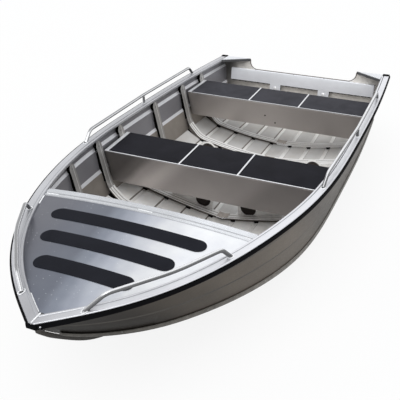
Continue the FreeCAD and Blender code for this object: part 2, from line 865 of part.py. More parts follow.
side_bends = [0.0, RAIL_AFT_BEND, 200.0, RAIL_FRONT_BEND, 0.0]
side_rail = bent_bar(rail_points(SIDE_RAIL_ROWS, SIDE_RAIL_INSET), RAIL_RADIUS, side_bends)
post_row = station_at(along(SIDE_RAIL_POST_X))
post_foot = V(post_row.x, post_row.half_beam - SIDE_RAIL_INSET, post_row.sheer + JOINT_GAP)
post = Part.makeCylinder(POST_RADIUS, RAIL_HEIGHT, post_foot)
post = post.cut(Part.makeCylinder(RAIL_RADIUS + JOINT_GAP, 4.0 * RAIL_RADIUS,
                                  post_foot + V(-2.0 * RAIL_RADIUS, 0, RAIL_HEIGHT), V(1, 0, 0)))
keep_pair("side_rail", Part.makeCompound([side_rail, post.Solids[0]]))


# ================================================================ transom group
outline = transom_outline()
rim = [V(transom_x(z), y, z) for y, z in outline]
rim += [V(transom_x(z), -y, z) for y, z in outline[::-1][1:]]
forward = V(math.cos(RAKE), 0.0, math.sin(RAKE))
plate = slab(rim, forward * TRANSOM_SHEET)
notch_tall = 400.0
notch = box(-200.0, 200.0, -NOTCH_HALF, NOTCH_HALF, NOTCH_Z, NOTCH_Z + notch_tall)
low_edges = [edge for edge in notch.Edges
             if abs(edge.CenterOfMass.z - NOTCH_Z) < 1.0
             and abs(abs(edge.CenterOfMass.y) - NOTCH_HALF) < 1.0]
notch = notch.makeFillet(NOTCH_RADIUS, low_edges)
keep("transom_plate", plate.cut(notch))

inner_face = TRANSOM_SHEET + JOINT_GAP
beam = box(inner_face, inner_face + BEAM_THICK, -BEAM_HALF, BEAM_HALF,
           BEAM_TOP_Z - BEAM_HEIGHT, BEAM_TOP_Z)
for side in (-1.0, 1.0):
    y = side * TAB_Y
    tab = box(inner_face + BEAM_THICK - TAB_THICK, inner_face + BEAM_THICK,
              y - TAB_WIDTH / 2.0, y + TAB_WIDTH / 2.0,
              BEAM_TOP_Z - BEAM_HEIGHT - TAB_DROP, BEAM_TOP_Z - BEAM_HEIGHT)
    beam = beam.fuse(tab)
keep("transom_beam", on_transom(beam.removeSplitter()))

motor_pad = box(-PAD_DEEP - JOINT_GAP, -JOINT_GAP, -PAD_HALF, PAD_HALF,
                NOTCH_Z - PAD_HEIGHT, NOTCH_Z - 4.0)
keep("motor_pad", on_transom(motor_pad))

bung = Part.makeCylinder(BUNG_FLANGE_RADIUS, BUNG_FLANGE,
                         V(-JOINT_GAP - BUNG_FLANGE, 0.0, BUNG_Z), V(1, 0, 0))
bung = bung.fuse(Part.makeCylinder(BUNG_PLUG_RADIUS, BUNG_PLUG,
                                   V(-JOINT_GAP - BUNG_FLANGE - BUNG_PLUG, 0.0, BUNG_Z),
                                   V(1, 0, 0)))
keep("drain_bung", on_transom(bung.removeSplitter()))


def corner_plate():
    aft = station_at(0.0)
    fore = station_at(KNEE_PLATE_REACH)
    top = aft.sheer
    x0 = TRANSOM_SHEET + 1.0
    inner_aft = aft.half_beam - GUNWALE_WIDTH - JOINT_GAP
    inner_fore = fore.half_beam - GUNWALE_WIDTH * spread(fore) - JOINT_GAP - 1.0
    corners = [V(x0, NOTCH_HALF, top), V(x0, inner_aft, top),
               V(KNEE_PLATE_REACH, inner_fore, fore.sheer)]
    plate = slab(corners, V(0, 0, -GUNWALE_SHEET))
    across = (corners[2] - corners[0]).normalize()
    square = V(across.y, -across.x, 0).normalize()
    lip = slab([corners[0], corners[2], corners[2] + V(0, 0, -KNEE_PLATE_LIP),
                corners[0] + V(0, 0, -KNEE_PLATE_LIP)], square * -GUNWALE_SHEET)
    return plate.fuse(lip)


keep_pair("transom_knee", corner_plate())


# ================================================================ small pieces
def bow_eye():
    stem_face = spline([V(row.x, 0.0, stem_section(row)[0][1]) for row in STATIONS])
    eye_x = along(EYE_X)
    face_z = stem_face.value(eye_x).z
    step = 5.0
    slope = math.atan2(stem_face.value(eye_x + step).z
                       - stem_face.value(eye_x - step).z, 2.0 * step)
    outward = V(math.sin(slope), 0.0, -math.cos(slope))
    run = V(math.cos(slope), 0.0, math.sin(slope))
    face = V(eye_x, 0.0, face_z)
    centre = face + outward * EYE_REACH
    half = V(0, EYE_THICK / 2.0, 0)
    ring = Part.makeCylinder(EYE_RADIUS, EYE_THICK, centre - half, V(0, 1, 0))
    start = face + outward * JOINT_GAP - half
    web = slab([start - run * EYE_RADIUS, start + run * EYE_RADIUS,
                centre - half + run * EYE_RADIUS, centre - half - run * EYE_RADIUS],
               V(0, EYE_THICK, 0))
    bore = Part.makeCylinder(EYE_BORE, 3.0 * EYE_THICK, centre - half * 3.0, V(0, 1, 0))
    return web.fuse(ring).removeSplitter().cut(bore), centre


eye, eye_centre = bow_eye()
keep("bow_eye", eye)
print("bow eye bore centre, packed frame:", eye_centre - V(HULL_LENGTH / 2.0, 0, 0))

tip = STATIONS[-1]
bow_cap = box(tip.x + JOINT_GAP, HULL_LENGTH, -BOW_CAP_HALF, BOW_CAP_HALF,
              tip.sheer - RUB_FOOT, tip.sheer - RUB_TOP)
bow_cap = bow_cap.makeChamfer(5.0, [edge for edge in bow_cap.Edges
                                    if abs(edge.CenterOfMass.x - HULL_LENGTH) < 1.0])
keep("bow_cap", bow_cap)


def stern_cap():
    """A thin moulded cap over the gunwale's aft end."""
    aft = station_at(0.0)
    fore = station_at(CAP_LENGTH)
    outer = aft.half_beam + RUB_THICK * 0.5
    return box(0.5, CAP_LENGTH, aft.half_beam - GUNWALE_WIDTH + 8.0, outer,
               fore.sheer + JOINT_GAP, fore.sheer + JOINT_GAP + CAP_THICK)


cap = stern_cap()
keep("stern_caps", cap, mirrored(cap))

total = sum(volume for _, _, volume, _ in NODES)
for name, count, volume, valid in NODES:
    print(name, count, round(volume / 1000.0, 1), "ok" if valid else "NOT VALID")
print(len(NODES), "nodes, solid volume in litres:", round(total / 1e6, 2))
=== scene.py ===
import math
from functools import lru_cache

import bmesh
import bpy
import numpy as np
from mathutils import Matrix, Vector


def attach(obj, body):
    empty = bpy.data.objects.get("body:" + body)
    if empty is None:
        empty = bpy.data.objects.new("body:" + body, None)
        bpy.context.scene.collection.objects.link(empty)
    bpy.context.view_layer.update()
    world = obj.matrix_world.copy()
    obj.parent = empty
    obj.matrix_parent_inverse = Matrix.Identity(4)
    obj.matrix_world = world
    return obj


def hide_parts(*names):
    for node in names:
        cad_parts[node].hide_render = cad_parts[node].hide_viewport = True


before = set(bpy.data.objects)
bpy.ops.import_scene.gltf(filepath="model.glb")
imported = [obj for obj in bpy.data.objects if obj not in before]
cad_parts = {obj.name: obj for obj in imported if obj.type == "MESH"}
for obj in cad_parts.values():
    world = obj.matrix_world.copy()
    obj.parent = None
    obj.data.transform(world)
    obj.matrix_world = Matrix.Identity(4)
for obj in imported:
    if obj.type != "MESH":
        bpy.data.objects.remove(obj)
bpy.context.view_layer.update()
HALF = 1.85                      # the hull's table runs from the transom; this moves it

# ---------------- hull lines
# x, half_beam, sheer, chine_y, chine_z, keel_z, press, belly at each station, in mm.
ROWS = np.array((
    (0, 717, 551, 632, 172, 30, 1, 45),
    (740, 772, 585, 683, 186, 30, 1, 42),
    (1480, 796, 614, 703, 203, 30, 1, 33),
    (2220, 775, 643, 684, 243, 33, 1, 15),
    (2700, 677, 664, 588, 318, 74, 0.8, 5),
    (3100, 523, 674, 433, 398, 190, 0.5, 0),
    (3400, 325, 677, 222, 464, 366, 0.3, 0),
    (3560, 168, 678, 62, 530, 510, 0.1, 0),
    (3650, 62, 678, 16, 612, 604, 0, 0),
    (3690, 14, 678, 6, 656, 652, 0, 0),
)) * np.array([0.001] * 6 + [1, 0.001])
XS = ROWS[:, 0]
TIP = XS[-1]

WALL, SHEET = 0.003, 0.004       # plating, and the gunwale's sheet
GUNWALE, SIDE_INSET = 0.055, 0.012
GROOVES = (0.115, 0.35, 0.585, 0.815)   # shares of the way from keel to chine
STEPS = (0.2, 0.57)              # shares of the way from sheer to chine
RIB_DEPTH = 0.022
GAP = 0.0003                     # between pieces that nearly touch
RAKE = math.radians(10.0)
SHARP = 38.0                     # degrees: folds sharper than this stay crisp
SIDES = (("port", 1.0), ("starboard", -1.0))
PLATE, EXTRUDED, FRAME_SLOT = "plate_aluminium", "extruded_aluminium", "frame_aluminium"


class Curve:
    """A smooth curve through the stations, with x as its parameter."""

    def __init__(self, ys):
        h = np.diff(XS)
        a, b = np.eye(len(XS)), np.zeros(len(XS))
        # at each end, the slope of the cubic through the nearest four stations
        for end, four in ((0, slice(4)), (-1, slice(-4, None))):
            b[end] = np.polyfit(XS[four] - XS[end], ys[four], 3)[2]
        for k in range(1, len(XS) - 1):
            a[k, k - 1:k + 2] = 1 / h[k - 1], 2 * (1 / h[k - 1] + 1 / h[k]), 1 / h[k]
            b[k] = 3.0 * ((ys[k] - ys[k - 1]) / h[k - 1] ** 2 + (ys[k + 1] - ys[k]) / h[k] ** 2)
        self.m = np.linalg.solve(a, b)
        self.y = ys

    def __call__(self, x):
        k = min(max(int(np.searchsorted(XS, x)) - 1, 0), len(XS) - 2)
        h = XS[k + 1] - XS[k]
        t = (x - XS[k]) / h
        return float((2 * t ** 3 - 3 * t ** 2 + 1) * self.y[k]
                     + (t ** 3 - 2 * t ** 2 + t) * h * self.m[k]
                     + (-2 * t ** 3 + 3 * t ** 2) * self.y[k + 1]
                     + (t ** 3 - t ** 2) * h * self.m[k + 1])


CURVES = [Curve(ROWS[:, k]) for k in range(1, 8)]


class Row:
    """One station of the hull, with what follows from its lines."""

    def __init__(self, x):
        self.x = x
        (self.beam, self.sheer, self.chine_y, self.chine_z,
         self.keel_z, self.press, self.belly) = [curve(x) for curve in CURVES]
        lo, hi = max(x - 0.001, 0.0), min(x + 0.001, TIP)
        self.wide = math.sqrt(1.0 + ((CURVES[0](hi) - CURVES[0](lo)) / (hi - lo)) ** 2)
        self.slope = (self.chine_z - self.keel_z) / max(self.chine_y, 1e-4)
        self.lift = WALL * math.sqrt(1.0 + self.slope ** 2)


STATION_ROWS = [Row(x) for x in XS]


@lru_cache(None)
def row_at(x):
    return Row(round(x, 5))


def mix(a, b, t):
    return (a[0] + (b[0] - a[0]) * t, a[1] + (b[1] - a[1]) * t)


GROOVE_HALF, GROOVE_FOOT, GROOVE_DEPTH = 0.025, 0.014, 0.009
BELLY_FULL = 0.66
FLOOR_SHARES = [0.0] + [place + way for place in GROOVES for way in (-GROOVE_HALF, GROOVE_HALF)]
FLOOR_BELLY = [1.0 - max(1.0 - share / BELLY_FULL, 0.0) ** 2 for share in FLOOR_SHARES] + [0.0]
FLOOR_SHARES.append(1.0)


def bottom_point(r, share):
    """The bottom plating's underside, a share of the way from keel to chine."""
    y, z = mix((0.0, r.keel_z), (r.chine_y, r.chine_z), share)
    return (y, z - r.belly * float(np.interp(share, FLOOR_SHARES, FLOOR_BELLY)))


def floor_line(r, lift):
    """Keel to chine along the bottom, straight across its grooves."""
    return [(y, z + lift) for y, z in (bottom_point(r, share) for share in FLOOR_SHARES)]


# ---------------- mesh tools
EDGE_SHARE = 0.42                # how much of an edge one rounded corner may take


def soften(points, radius, n=3, closed=False):
    """A polyline with its corners rounded; every corner gets n + 1 points."""
    out = []
    count = len(points)
    for k, p in enumerate(points):
        if not closed and k in (0, count - 1):
            out.append(p)
            continue
        a, b = points[k - 1], points[(k + 1) % count]
        la, lb = math.dist(a, p), math.dist(b, p)
        r = radius[k] if isinstance(radius, (list, tuple)) else radius
        cut = min(r, EDGE_SHARE * la, EDGE_SHARE * lb)
        start, stop = mix(p, a, cut / max(la, 1e-9)), mix(p, b, cut / max(lb, 1e-9))
        for j in range(n + 1):
            t = j / n
            out.append(tuple((1 - t) ** 2 * u + 2 * t * (1 - t) * v + t * t * w
                             for u, v, w in zip(start, p, stop)))
    return out


def paint(me, mats):
    for m in mats if isinstance(mats, (list, tuple)) else [mats]:
        me.materials.append(m)


def put(name, data):
    """A new object in the scene."""
    obj = bpy.data.objects.new(name, data)
    bpy.context.scene.collection.objects.link(obj)
    return obj


def stand(name, me, angle, nodes):
    """A mesh as a smooth piece that rides on the hull, in place of its CAD nodes."""
    me.shade_smooth()
    me.set_sharp_from_angle(angle=math.radians(angle))
    obj = put(name, me)
    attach(obj, "root")
    if nodes:
        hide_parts(*nodes)
    return obj


def finish_mesh(name, verts, faces, mats, face_mats=None, angle=SHARP, slot=None, nodes=()):
    """A piece of the boat from plain lists, moved to the CAD frame."""
    me = bpy.data.meshes.new(name)
    me.from_pydata([(v[0] - HALF, v[1], v[2]) for v in verts], [], faces)
    paint(me, mats)
    if face_mats:
        me.polygons.foreach_set("material_index", face_mats)
    bm = bmesh.new()
    bm.from_mesh(me)
    bmesh.ops.remove_doubles(bm, verts=bm.verts, dist=1e-6)
    bmesh.ops.recalc_face_normals(bm, faces=bm.faces)
    bm.to_mesh(me)
    bm.free()
    return stand(name, me, angle, nodes)


def ring_faces(rings, size):
    """Faces of a closed bar whose points run ring after ring, with both ends capped."""
    faces = []
    for i in range(rings - 1):
        for j in range(size):
            a, b = i * size + j, i * size + (j + 1) % size
            faces.append((a, b, b + size, a + size))
    faces.append(tuple(range(size))[::-1])
    faces.append(tuple((rings - 1) * size + j for j in range(size)))
    return faces


def cut_mesh(obj, point, normal):
    """Take away what lies on the normal's side of a plane and close the cut."""
    bm = bmesh.new()
    bm.from_mesh(obj.data)
    done = bmesh.ops.bisect_plane(bm, geom=bm.verts[:] + bm.edges[:] + bm.faces[:],
                                  plane_co=(point[0] - HALF, point[1], point[2]), plane_no=normal,
                                  clear_outer=True)
    rim = [e for e in done["geom_cut"] if isinstance(e, bmesh.types.BMEdge)]
    bmesh.ops.holes_fill(bm, edges=rim)
    bm.to_mesh(obj.data)
    bm.free()
    obj.data.set_sharp_from_angle(angle=math.radians(SHARP))


def loft(name, corners, shape, x0, x1, steps, mats, groups=None, hand=1.0, cut=None,
         slot=None, nodes=(), ease=1.25):
    """A long piece along the hull, whose corners each follow their own smooth curve."""
    at_stations = [corners(row) for row in STATION_ROWS]
    curves = [[Curve(np.array([c[k][j] for c in at_stations])) for j in (0, 1)]
              for k in range(len(at_stations[0]))]
    verts = []
    for share in split(0.0, 1.0, steps):
        x = x0 + (x1 - x0) * (1.0 - (1.0 - share) ** ease)
        ring = shape([(cy(x), cz(x)) for cy, cz in curves])
        verts += [(x, hand * y, z) for y, z in ring]
    size = len(ring)
    face_mats = None
    if groups:
        face_mats = [groups[j] for _ in range(steps) for j in range(size)] + [groups[0]] * 2
    obj = finish_mesh(name, verts, ring_faces(steps + 1, size), mats, face_mats,
                      slot=slot, nodes=nodes)
    if cut == "transom":
        cut_mesh(obj, (0.0, 0.0, STATION_ROWS[0].sheer), (-math.cos(RAKE), 0.0, -math.sin(RAKE)))
    elif cut == "middle":
        cut_mesh(obj, (0.0, hand * 0.00015, 0.0), (0.0, -hand, 0.0))
    return obj


def in_two(count, radius, n=3):
    """Round an outer and an inner line apart, each of count corners."""
    return lambda pts: soften(pts[:count], radius, n) + soften(pts[count:], radius, n)


def all_round(radius, n=2):
    return lambda pts: soften(pts, radius, n, closed=True)


def pair(name, *args, nodes, **kw):
    """The same loft on both sides of the boat."""
    for side, hand in SIDES:
        loft(name + "_" + side, *args, hand=hand, nodes=[n + "_" + side for n in nodes], **kw)


def sweep(path, outline, scales=None):
    """Rings of outline (side, up) points carried along a path without twisting."""
    verts, side = [], None
    for k, p in enumerate(path):
        t = (path[min(k + 1, len(path) - 1)] - path[max(k - 1, 0)]).normalized()
        if side is None:
            side = t.cross(Vector((0, 0, 1) if abs(t.z) < 0.9 else (1, 0, 0))).normalized()
        side = (side - t * side.dot(t)).normalized()
        up = side.cross(t).normalized()
        s = scales[k] if scales else 1.0
        verts += [tuple(p + side * (a * s) + up * (b * s)) for a, b in outline]
    return verts, ring_faces(len(path), len(outline))


def circle(radius, n, squash=1.0):
    turns = [2 * math.pi * k / n for k in range(n)]
    return [(radius * math.cos(u), radius * squash * math.sin(u)) for u in turns]


def split(a, b, n):
    """Numbers from a to b in n equal steps."""
    return [a + (b - a) * k / n for k in range(n + 1)]


def resample(points, step):
    """Points every step along straight runs."""
    out = [points[0]]
    for a, b in zip(points, points[1:]):
        n = max(int(round((b - a).length / step)), 1)
        out += [a.lerp(b, k / n) for k in range(1, n + 1)]
    return out


RIPPLE = (0.84, 1.0, 1.08, 0.98)     # a weld bead's girth over one ripple


class Batch:
    """Many small like things in one mesh."""

    def __init__(self):
        self.verts, self.faces = [], []

    def add(self, verts, faces):
        base = len(self.verts)
        self.verts += [tuple(v) for v in verts]
        self.faces += [tuple(i + base for i in f) for f in faces]

    def rings(self, rings):
        """A closed bar through rings of points."""
        self.add([p for ring in rings for p in ring], ring_faces(len(rings), len(rings[0])))

    def bead(self, path, width=0.0042, pitch=0.0032, squash=0.75):
        """A weld bead: overlapping ripples along a path, thinner at both ends."""
        fine = resample(path, pitch / len(RIPPLE))
        scales = []
        for k in range(len(fine)):
            end = min(k, len(fine) - 1 - k)
            scales.append(RIPPLE[k % len(RIPPLE)] * min(1.0, 0.35 + 0.16 * end)
                          * (1.0 + 0.12 * math.sin(k * 0.37) * math.cos(k * 0.11)))
        self.add(*sweep(fine, circle(width, 7, squash), scales))

    def collar(self, centre, width, across, along, n, lift, wave=0.0):
        """A weld bead round a bar's foot; wave lifts it where the bars' sides meet."""
        turns = [2 * math.pi * k / n for k in range(n + 1)]
        self.bead([centre + Vector((across * math.cos(u), along * math.sin(u),
                                    lift + wave * abs(math.sin(u)))) for u in turns], width)

    def dome(self, centre, radius, height, normal=(0, 0, 1), rings=3, n=12):
        """A rivet or bolt head."""
        normal = Vector(normal).normalized()
        ref = Vector((1, 0, 0)) if abs(normal.x) < 0.8 else Vector((0, 1, 0))
        a = normal.cross(ref).normalized()
        b = normal.cross(a)
        centre = Vector(centre)
        verts = []
        for i in range(rings + 1):
            t = math.pi / 2 * i / (rings + 0.35)
            for k in range(n):
                u = 2 * math.pi * k / n
                verts.append(centre + (a * math.cos(u) + b * math.sin(u)) * radius * math.cos(t)
                             + normal * height * math.sin(t))
        self.add(verts, ring_faces(rings + 1, n))

    def make(self, name, mats, **kw):
        return finish_mesh(name, self.verts, self.faces, mats, **kw)


def bevelled(name, node, mats, width=0.0012, segments=2, angle=30.0):
    """A CAD solid's shape with its sharp edges rounded, standing for that node."""
    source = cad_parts[node]
    bm = bmesh.new()
    bm.from_mesh(source.data)
    bmesh.ops.remove_doubles(bm, verts=bm.verts, dist=2e-6)
    bmesh.ops.dissolve_limit(bm, angle_limit=math.radians(1.0), verts=bm.verts, edges=bm.edges)
    sharp = [e for e in bm.edges if len(e.link_faces) == 2
             and e.calc_face_angle(0.0) > math.radians(angle)]
    bmesh.ops.bevel(bm, geom=sharp, offset=width, segments=segments, profile=0.6,
                    affect="EDGES", clamp_overlap=True)
    me = bpy.data.meshes.new(name)
    bm.to_mesh(me)
    bm.free()
    paint(me, mats)
    return stand(name, me, 32, [node])


# ---------------- materials
def tone(r, g, b):
    """A colour written as it looks, 0 to 255, in linear light."""
    return tuple((c / 255.0 / 12.92) if c <= 10.3 else ((c / 255.0 + 0.055) / 1.055) ** 2.4
                 for c in (r, g, b)) + (1.0,)


class Shader:
    """The nodes of one material or world, added and linked in short form."""

    def __init__(self, owner):
        owner.use_nodes = True
        self.nodes, self.links = owner.node_tree.nodes, owner.node_tree.links

    def feed(self, node, inputs):
        """Give a node its inputs: a socket is linked, and anything else is a value."""
        for key, value in inputs.items():
            if isinstance(value, bpy.types.NodeSocket):
                self.links.new(value, node.inputs[key])
            else:
                node.inputs[key].default_value = value
        return node.outputs

    def add(self, kind, inputs, **settings):
        node = self.nodes.new("ShaderNode" + kind)
        for key, value in settings.items():
            setattr(node, key, value)
        return self.feed(node, inputs)

    def noise(self, place, scale, detail=2.0, **more):
        return self.add("TexNoise", {"Vector": place, "Scale": scale, "Detail": detail,
                                     **more})["Fac"]

    def stretch(self, place, scale):
        return self.add("Mapping", {"Vector": place, "Scale": scale})["Vector"]

    def span(self, value, low, high, to_low=0.0, to_high=1.0):
        return self.add("MapRange", {"Value": value, "From Min": low, "From Max": high,
                                     "To Min": to_low, "To Max": to_high})["Result"]

    def maths(self, operation, *values):
        return self.add("Math", dict(enumerate(values)), operation=operation)["Value"]

    def mix(self, share, a, b, blend="MIX"):
        return self.add("Mix", {0: share, 6: a, 7: b}, data_type="RGBA", blend_type=blend)[2]

    def ramp(self, value, tones, ease="LINEAR"):
        """A colour ramp: each stop is a place and a grey or a colour."""
        node = self.nodes.new("ShaderNodeValToRGB")
        node.color_ramp.interpolation = ease
        stops = node.color_ramp.elements
        while len(stops) < len(tones):
            stops.new(0.5)
        for stop, (where, shade) in zip(stops, tones):
            stop.position = where
            stop.color = (shade if isinstance(shade, tuple) else (shade,) * 3) + (1.0,)
        return self.feed(node, {"Fac": value})["Color"]

    def tint(self, colour, value, tones, ease="LINEAR"):
        return self.mix(1.0, colour, self.ramp(value, tones, ease), "MULTIPLY")

    def surface(self, grain, bump, inputs):
        normal = self.add("Bump", {"Strength": bump, "Distance": BUMP_REACH, "Height": grain})
        self.feed(self.nodes["Principled BSDF"], {**inputs, "Normal": normal["Normal"]})


BUMP_REACH = 0.0006
OXIDE = tone(235, 238, 242)


def metal(name, colour, rough=0.34, metallic=0.85, brush=(1, 1, 1), blotch=(0.16, 3.0),
          brush_scale=260.0, bump=0.12, speck=0.0, rough_span=0.12, streak=None, fade=None,
          ripple=0.0, facing=None):
    """Bare metal: cloudy tone, brushed grain in roughness and bump, and specks of oxide.

    blotch is a strength and a scale, and streak a stretch and a strength.  fade is (way,
    start, end, tones): what multiplies the colour at each share of the way, and it paints
    light and shade along that way.  facing is the same from facing down to facing up, and
    it paints light: a bar's top is lighter and its underside darker."""
    mat = bpy.data.materials.new(name)
    make = Shader(mat)
    place = make.add("TexCoord", {})["Object"]
    base = tone(*colour)[:3]
    strength, size = blotch
    cloud = make.noise(place, size, 5.0, Roughness=0.6)
    out = make.ramp(cloud, [(0.28, tuple(c * (1.0 - strength) for c in base)),
                            (0.72, tuple(min(c * (1.0 + strength), 1.0) for c in base))])
    grain = make.noise(make.stretch(place, brush), brush_scale, 3.0)
    if streak:
        way, by = streak
        soft = make.noise(make.stretch(place, way), 1.0, 2.5)
        out = make.mix(1.0, out, make.span(soft, 0.3, 0.7, 1.0 - by, 1.0 + by), "MULTIPLY")
    # painted light: lighter where the surface faces up, darker where it faces down
    if facing:
        normal = make.add("NewGeometry", {})["Normal"]
        upward = make.add("SeparateXYZ", {0: normal})["Z"]
        out = make.tint(out, make.span(upward, -1.0, 1.0), facing)
    # painted light and shade, laid across the piece along a fixed way
    if fade:
        way, start, end, tones = fade
        along = make.add("VectorMath", {0: place, 1: way}, operation="DOT_PRODUCT")["Value"]
        wave = make.maths("MULTIPLY_ADD", cloud, ripple, make.span(along, start, end))
        out = make.tint(out, wave, tones, "EASE")
    if speck:
        dots = make.add("TexVoronoi", {"Vector": place, "Scale": 46.0, "Randomness": 1.0})
        near = make.span(dots["Distance"], 0.03, 0.11, speck, 0.0)
        patch = make.span(make.noise(place, 5.0), 0.46, 0.6)
        out = make.mix(make.maths("MULTIPLY", near, patch), out, OXIDE)
    make.surface(grain, bump, {
        "Base Color": out, "Metallic": metallic,
        "Roughness": make.span(grain, 0.3, 0.7, max(rough - rough_span / 2, 0.05),
                               rough + rough_span / 2)})
    return mat


def sheet_material(name, colour, rough=0.75, grain=900.0, bump=0.35, blotch=0.25,
                   specular=0.35):
    """Rubber, foam or moulded plastic: fine grain, faint scuffs."""
    mat = bpy.data.materials.new(name)
    make = Shader(mat)
    place = make.add("TexCoord", {})["Object"]
    base = tone(*colour)[:3]
    cloud = make.noise(place, 7.0, 6.0, Distortion=0.6)
    make.surface(make.noise(place, grain), bump, {
        "Base Color": make.ramp(cloud, [
            (0.35, tuple(c * (1.0 - blotch) for c in base)),
            (0.75, tuple(c * (1.0 + 1.6 * blotch) for c in base))]),
        "Specular IOR Level": specular,
        "Roughness": make.span(cloud, 0.0, 1.0, rough - 0.08, min(rough + 0.08, 1.0))})
    return mat


ALONG = (0.06, 1.0, 1.0)         # grain that runs fore and aft
ACROSS = (1.0, 0.06, 1.0)        # grain that runs across the boat
END_TO_END = ((1, 0, 0), -HALF, HALF)
# name, colour, roughness, metallic, grain, (blotch, its scale)

# painted reflection and shade: the fade darkens the outside towards the bow, with a lighter band
# aft of it
M_OUTSIDE = metal(
    "hull_outside", (114, 104, 92), 0.42, 0.6, ALONG, (0.14, 1.6), streak=((0.8, 0.8, 6), 0.16),
    fade=((1, 0, -1.2), -2.45, 1.25, [
        (0, 0.45), (0.5, 0.42), (0.57, 0.38), (0.66, 0.72), (0.78, 0.6), (0.84, 0.36), (0.9, 0.1),
        (1, 0.03)]))
# painted shade: the fade darkens the seam towards the bow, as on the hull's outside
M_SEAM = metal(
    "chine_seam_metal", (122, 118, 112), 0.42, 0.5, ALONG, (0.34, 26), speck=0.8,
    fade=(*END_TO_END, [(0, 0.8), (0.7, 0.9), (0.84, 0.62), (0.95, 0.42)]))
# painted shade: the outer faces of the pressed steps, under the strake above
M_STEP_SHADE = metal("press_step_painted_shade", (58, 53, 47), 0.5, 0.4, ALONG, (0.15, 9))
M_INSIDE = metal("hull_inside", (148, 147, 152), 0.42, 0.5, ALONG, (0.08, 2.2))
# painted light: the lowest strake's inner face has its own warmer copy of the inside plating's
# tone
M_INSIDE_LOW = metal("lower_strake_inside", (156, 149, 142), 0.42, 0.4, ALONG, (0.18, 4))
# painted highlight: the inner faces of the pressed steps
M_STEP_HIGHLIGHT = metal("press_step_painted_highlight", (236, 236, 240), 0.4, 0.25, ALONG, (0.05, 5))
# painted light: the floor is written near white, far lighter than the side plating, and the fade
# paints its aft half darker
M_FLOOR = metal(
    "hull_floor", (253, 249, 244), 0.45, 0.02, ALONG, (0.1, 7), streak=((1.4, 6, 1), 0.14),
    fade=(*END_TO_END, [(0, 0.7), (0.44, 0.74), (0.5, 1), (1, 1)]))
# painted shade: the fade darkens the underside, keel, stem and runners towards the bow
M_KEELSIDE = metal(
    "hull_underside", (128, 122, 115), rough=0.45, metallic=0.7, brush=ALONG,
    fade=(*END_TO_END, [(0, 1), (0.66, 0.85), (0.84, 0.3), (0.95, 0.2)]))
# painted shade: the starboard gunwale is darker than the port one, and both darken towards the bow
# tip
M_GUNWALE = metal(
    "gunwale_metal", (232, 233, 238), 0.36, 0.5, ALONG, (0.06, 4),
    fade=((0, 1, 0), -0.8, 0.8, [
        (0, 0.68), (0.3, 0.68), (0.47, 0.52), (0.56, 0.68), (0.68, 0.86), (0.8, 1), (1, 1)]))
# painted shade: the gunwale's crease and lip and the deck flange's lines, dark aft and lighter
# towards the bow
M_CREASE_SHADE = metal(
    "gunwale_crease_painted_shade", (206, 208, 213), 0.45, 0.4, ALONG, (0.12, 12),
    fade=(*END_TO_END, [(0, 0.12), (0.55, 0.16), (0.66, 0.62), (1, 0.72)]))
# painted light: the trim's up-facing tops are light and its sides dark
M_TRIM = metal(
    "trim_metal", (240, 241, 244), 0.32, 0.3, ACROSS, (0.05, 3),
    facing=[(0, 0.2), (0.6, 0.26), (0.85, 0.9), (1, 1)])
# painted reflection: the fade runs from a dark blue-grey starboard half to a near-white port half
M_DECK = metal(
    "deck_metal", (243, 245, 252), 0.3, 0.6, ACROSS, (0.08, 6), speck=0.9, bump=0.02,
    rough_span=0.04, ripple=0.05,
    fade=((-0.15, 1, 0), -0.62, 0.3, [
        (0, (0.15, 0.152, 0.172)), (0.36, (0.16, 0.172, 0.205)), (0.44, (0.255, 0.275, 0.32)),
        (0.5, (0.36, 0.38, 0.43)), (0.58, (0.5, 0.52, 0.57)), (0.65, (0.64, 0.65, 0.68)),
        (0.74, 0.84), (0.93, 1)]))
# painted reflection: port rails have a narrow light top over dark flanks; starboard rails a light
# band on their upper flanks, with a darker top and underside
M_TUBE = metal(
    "rail_metal", (238, 239, 242), 0.25, 0.75, ALONG, (0.1, 8),
    facing=[(0, 0.1), (0.6, 0.15), (0.84, 0.22), (0.89, 0.42), (0.935, 0.92), (1, 1)])
M_TUBE_INNER = metal(
    "starboard_rail_painted_reflection", (236, 237, 240), 0.25, 0.75, ALONG, (0.1, 8),
    facing=[
        (0, 0.1), (0.45, 0.16), (0.55, 0.5), (0.72, 0.95), (0.84, 0.82), (0.91, 0.42), (1, 0.36)])
# painted light: the deck edge's top is light and its front and underside dark, and the fade
# darkens it towards starboard
M_EDGE = metal(
    "deck_edge_metal", (232, 235, 240), 0.26, 0.6, ACROSS, (0.1, 6),
    facing=[(0, 0.1), (0.5, 0.18), (0.72, 0.45), (0.88, 1), (1, 1)],
    fade=((0, 1, 0), -0.6, 0.6, [(0, 0.72), (0.55, 0.74), (0.8, 0.95), (1, 1)]))
# painted light: a ring frame is mid grey up the sides and a near-white copy over the floor
M_FRAME = metal("frame_metal", (176, 174, 172), 0.38, 0.5, (1, 1, 0.06), (0.08, 6))
M_FRAME_HIGHLIGHT = metal("frame_web_painted_highlight", (228, 227, 226), 0.34, 0.35, (1, 1, 0.06), (0.08, 9))
M_FLOOR_RIB = metal("floor_rib_metal", (254, 252, 249), 0.38, 0.05, ACROSS, (0.06, 6))
M_BEARER = metal("bearer_metal", (252, 250, 247), 0.4, 0.05, ACROSS, (0.05, 3))
M_RIB_FOLD_SHADE = metal("floor_rib_fold_painted_shade", (150, 146, 140), 0.42, 0.3, ACROSS, (0.12, 14))
M_RIB_SHADE = metal("floor_rib_flank_painted_shade", (92, 87, 82), 0.5, 0.1, ACROSS, (0.2, 14))
M_JOINER = metal("frame_joiner_metal", (178, 169, 162), 0.42, 0.25, ACROSS, (0.3, 44))
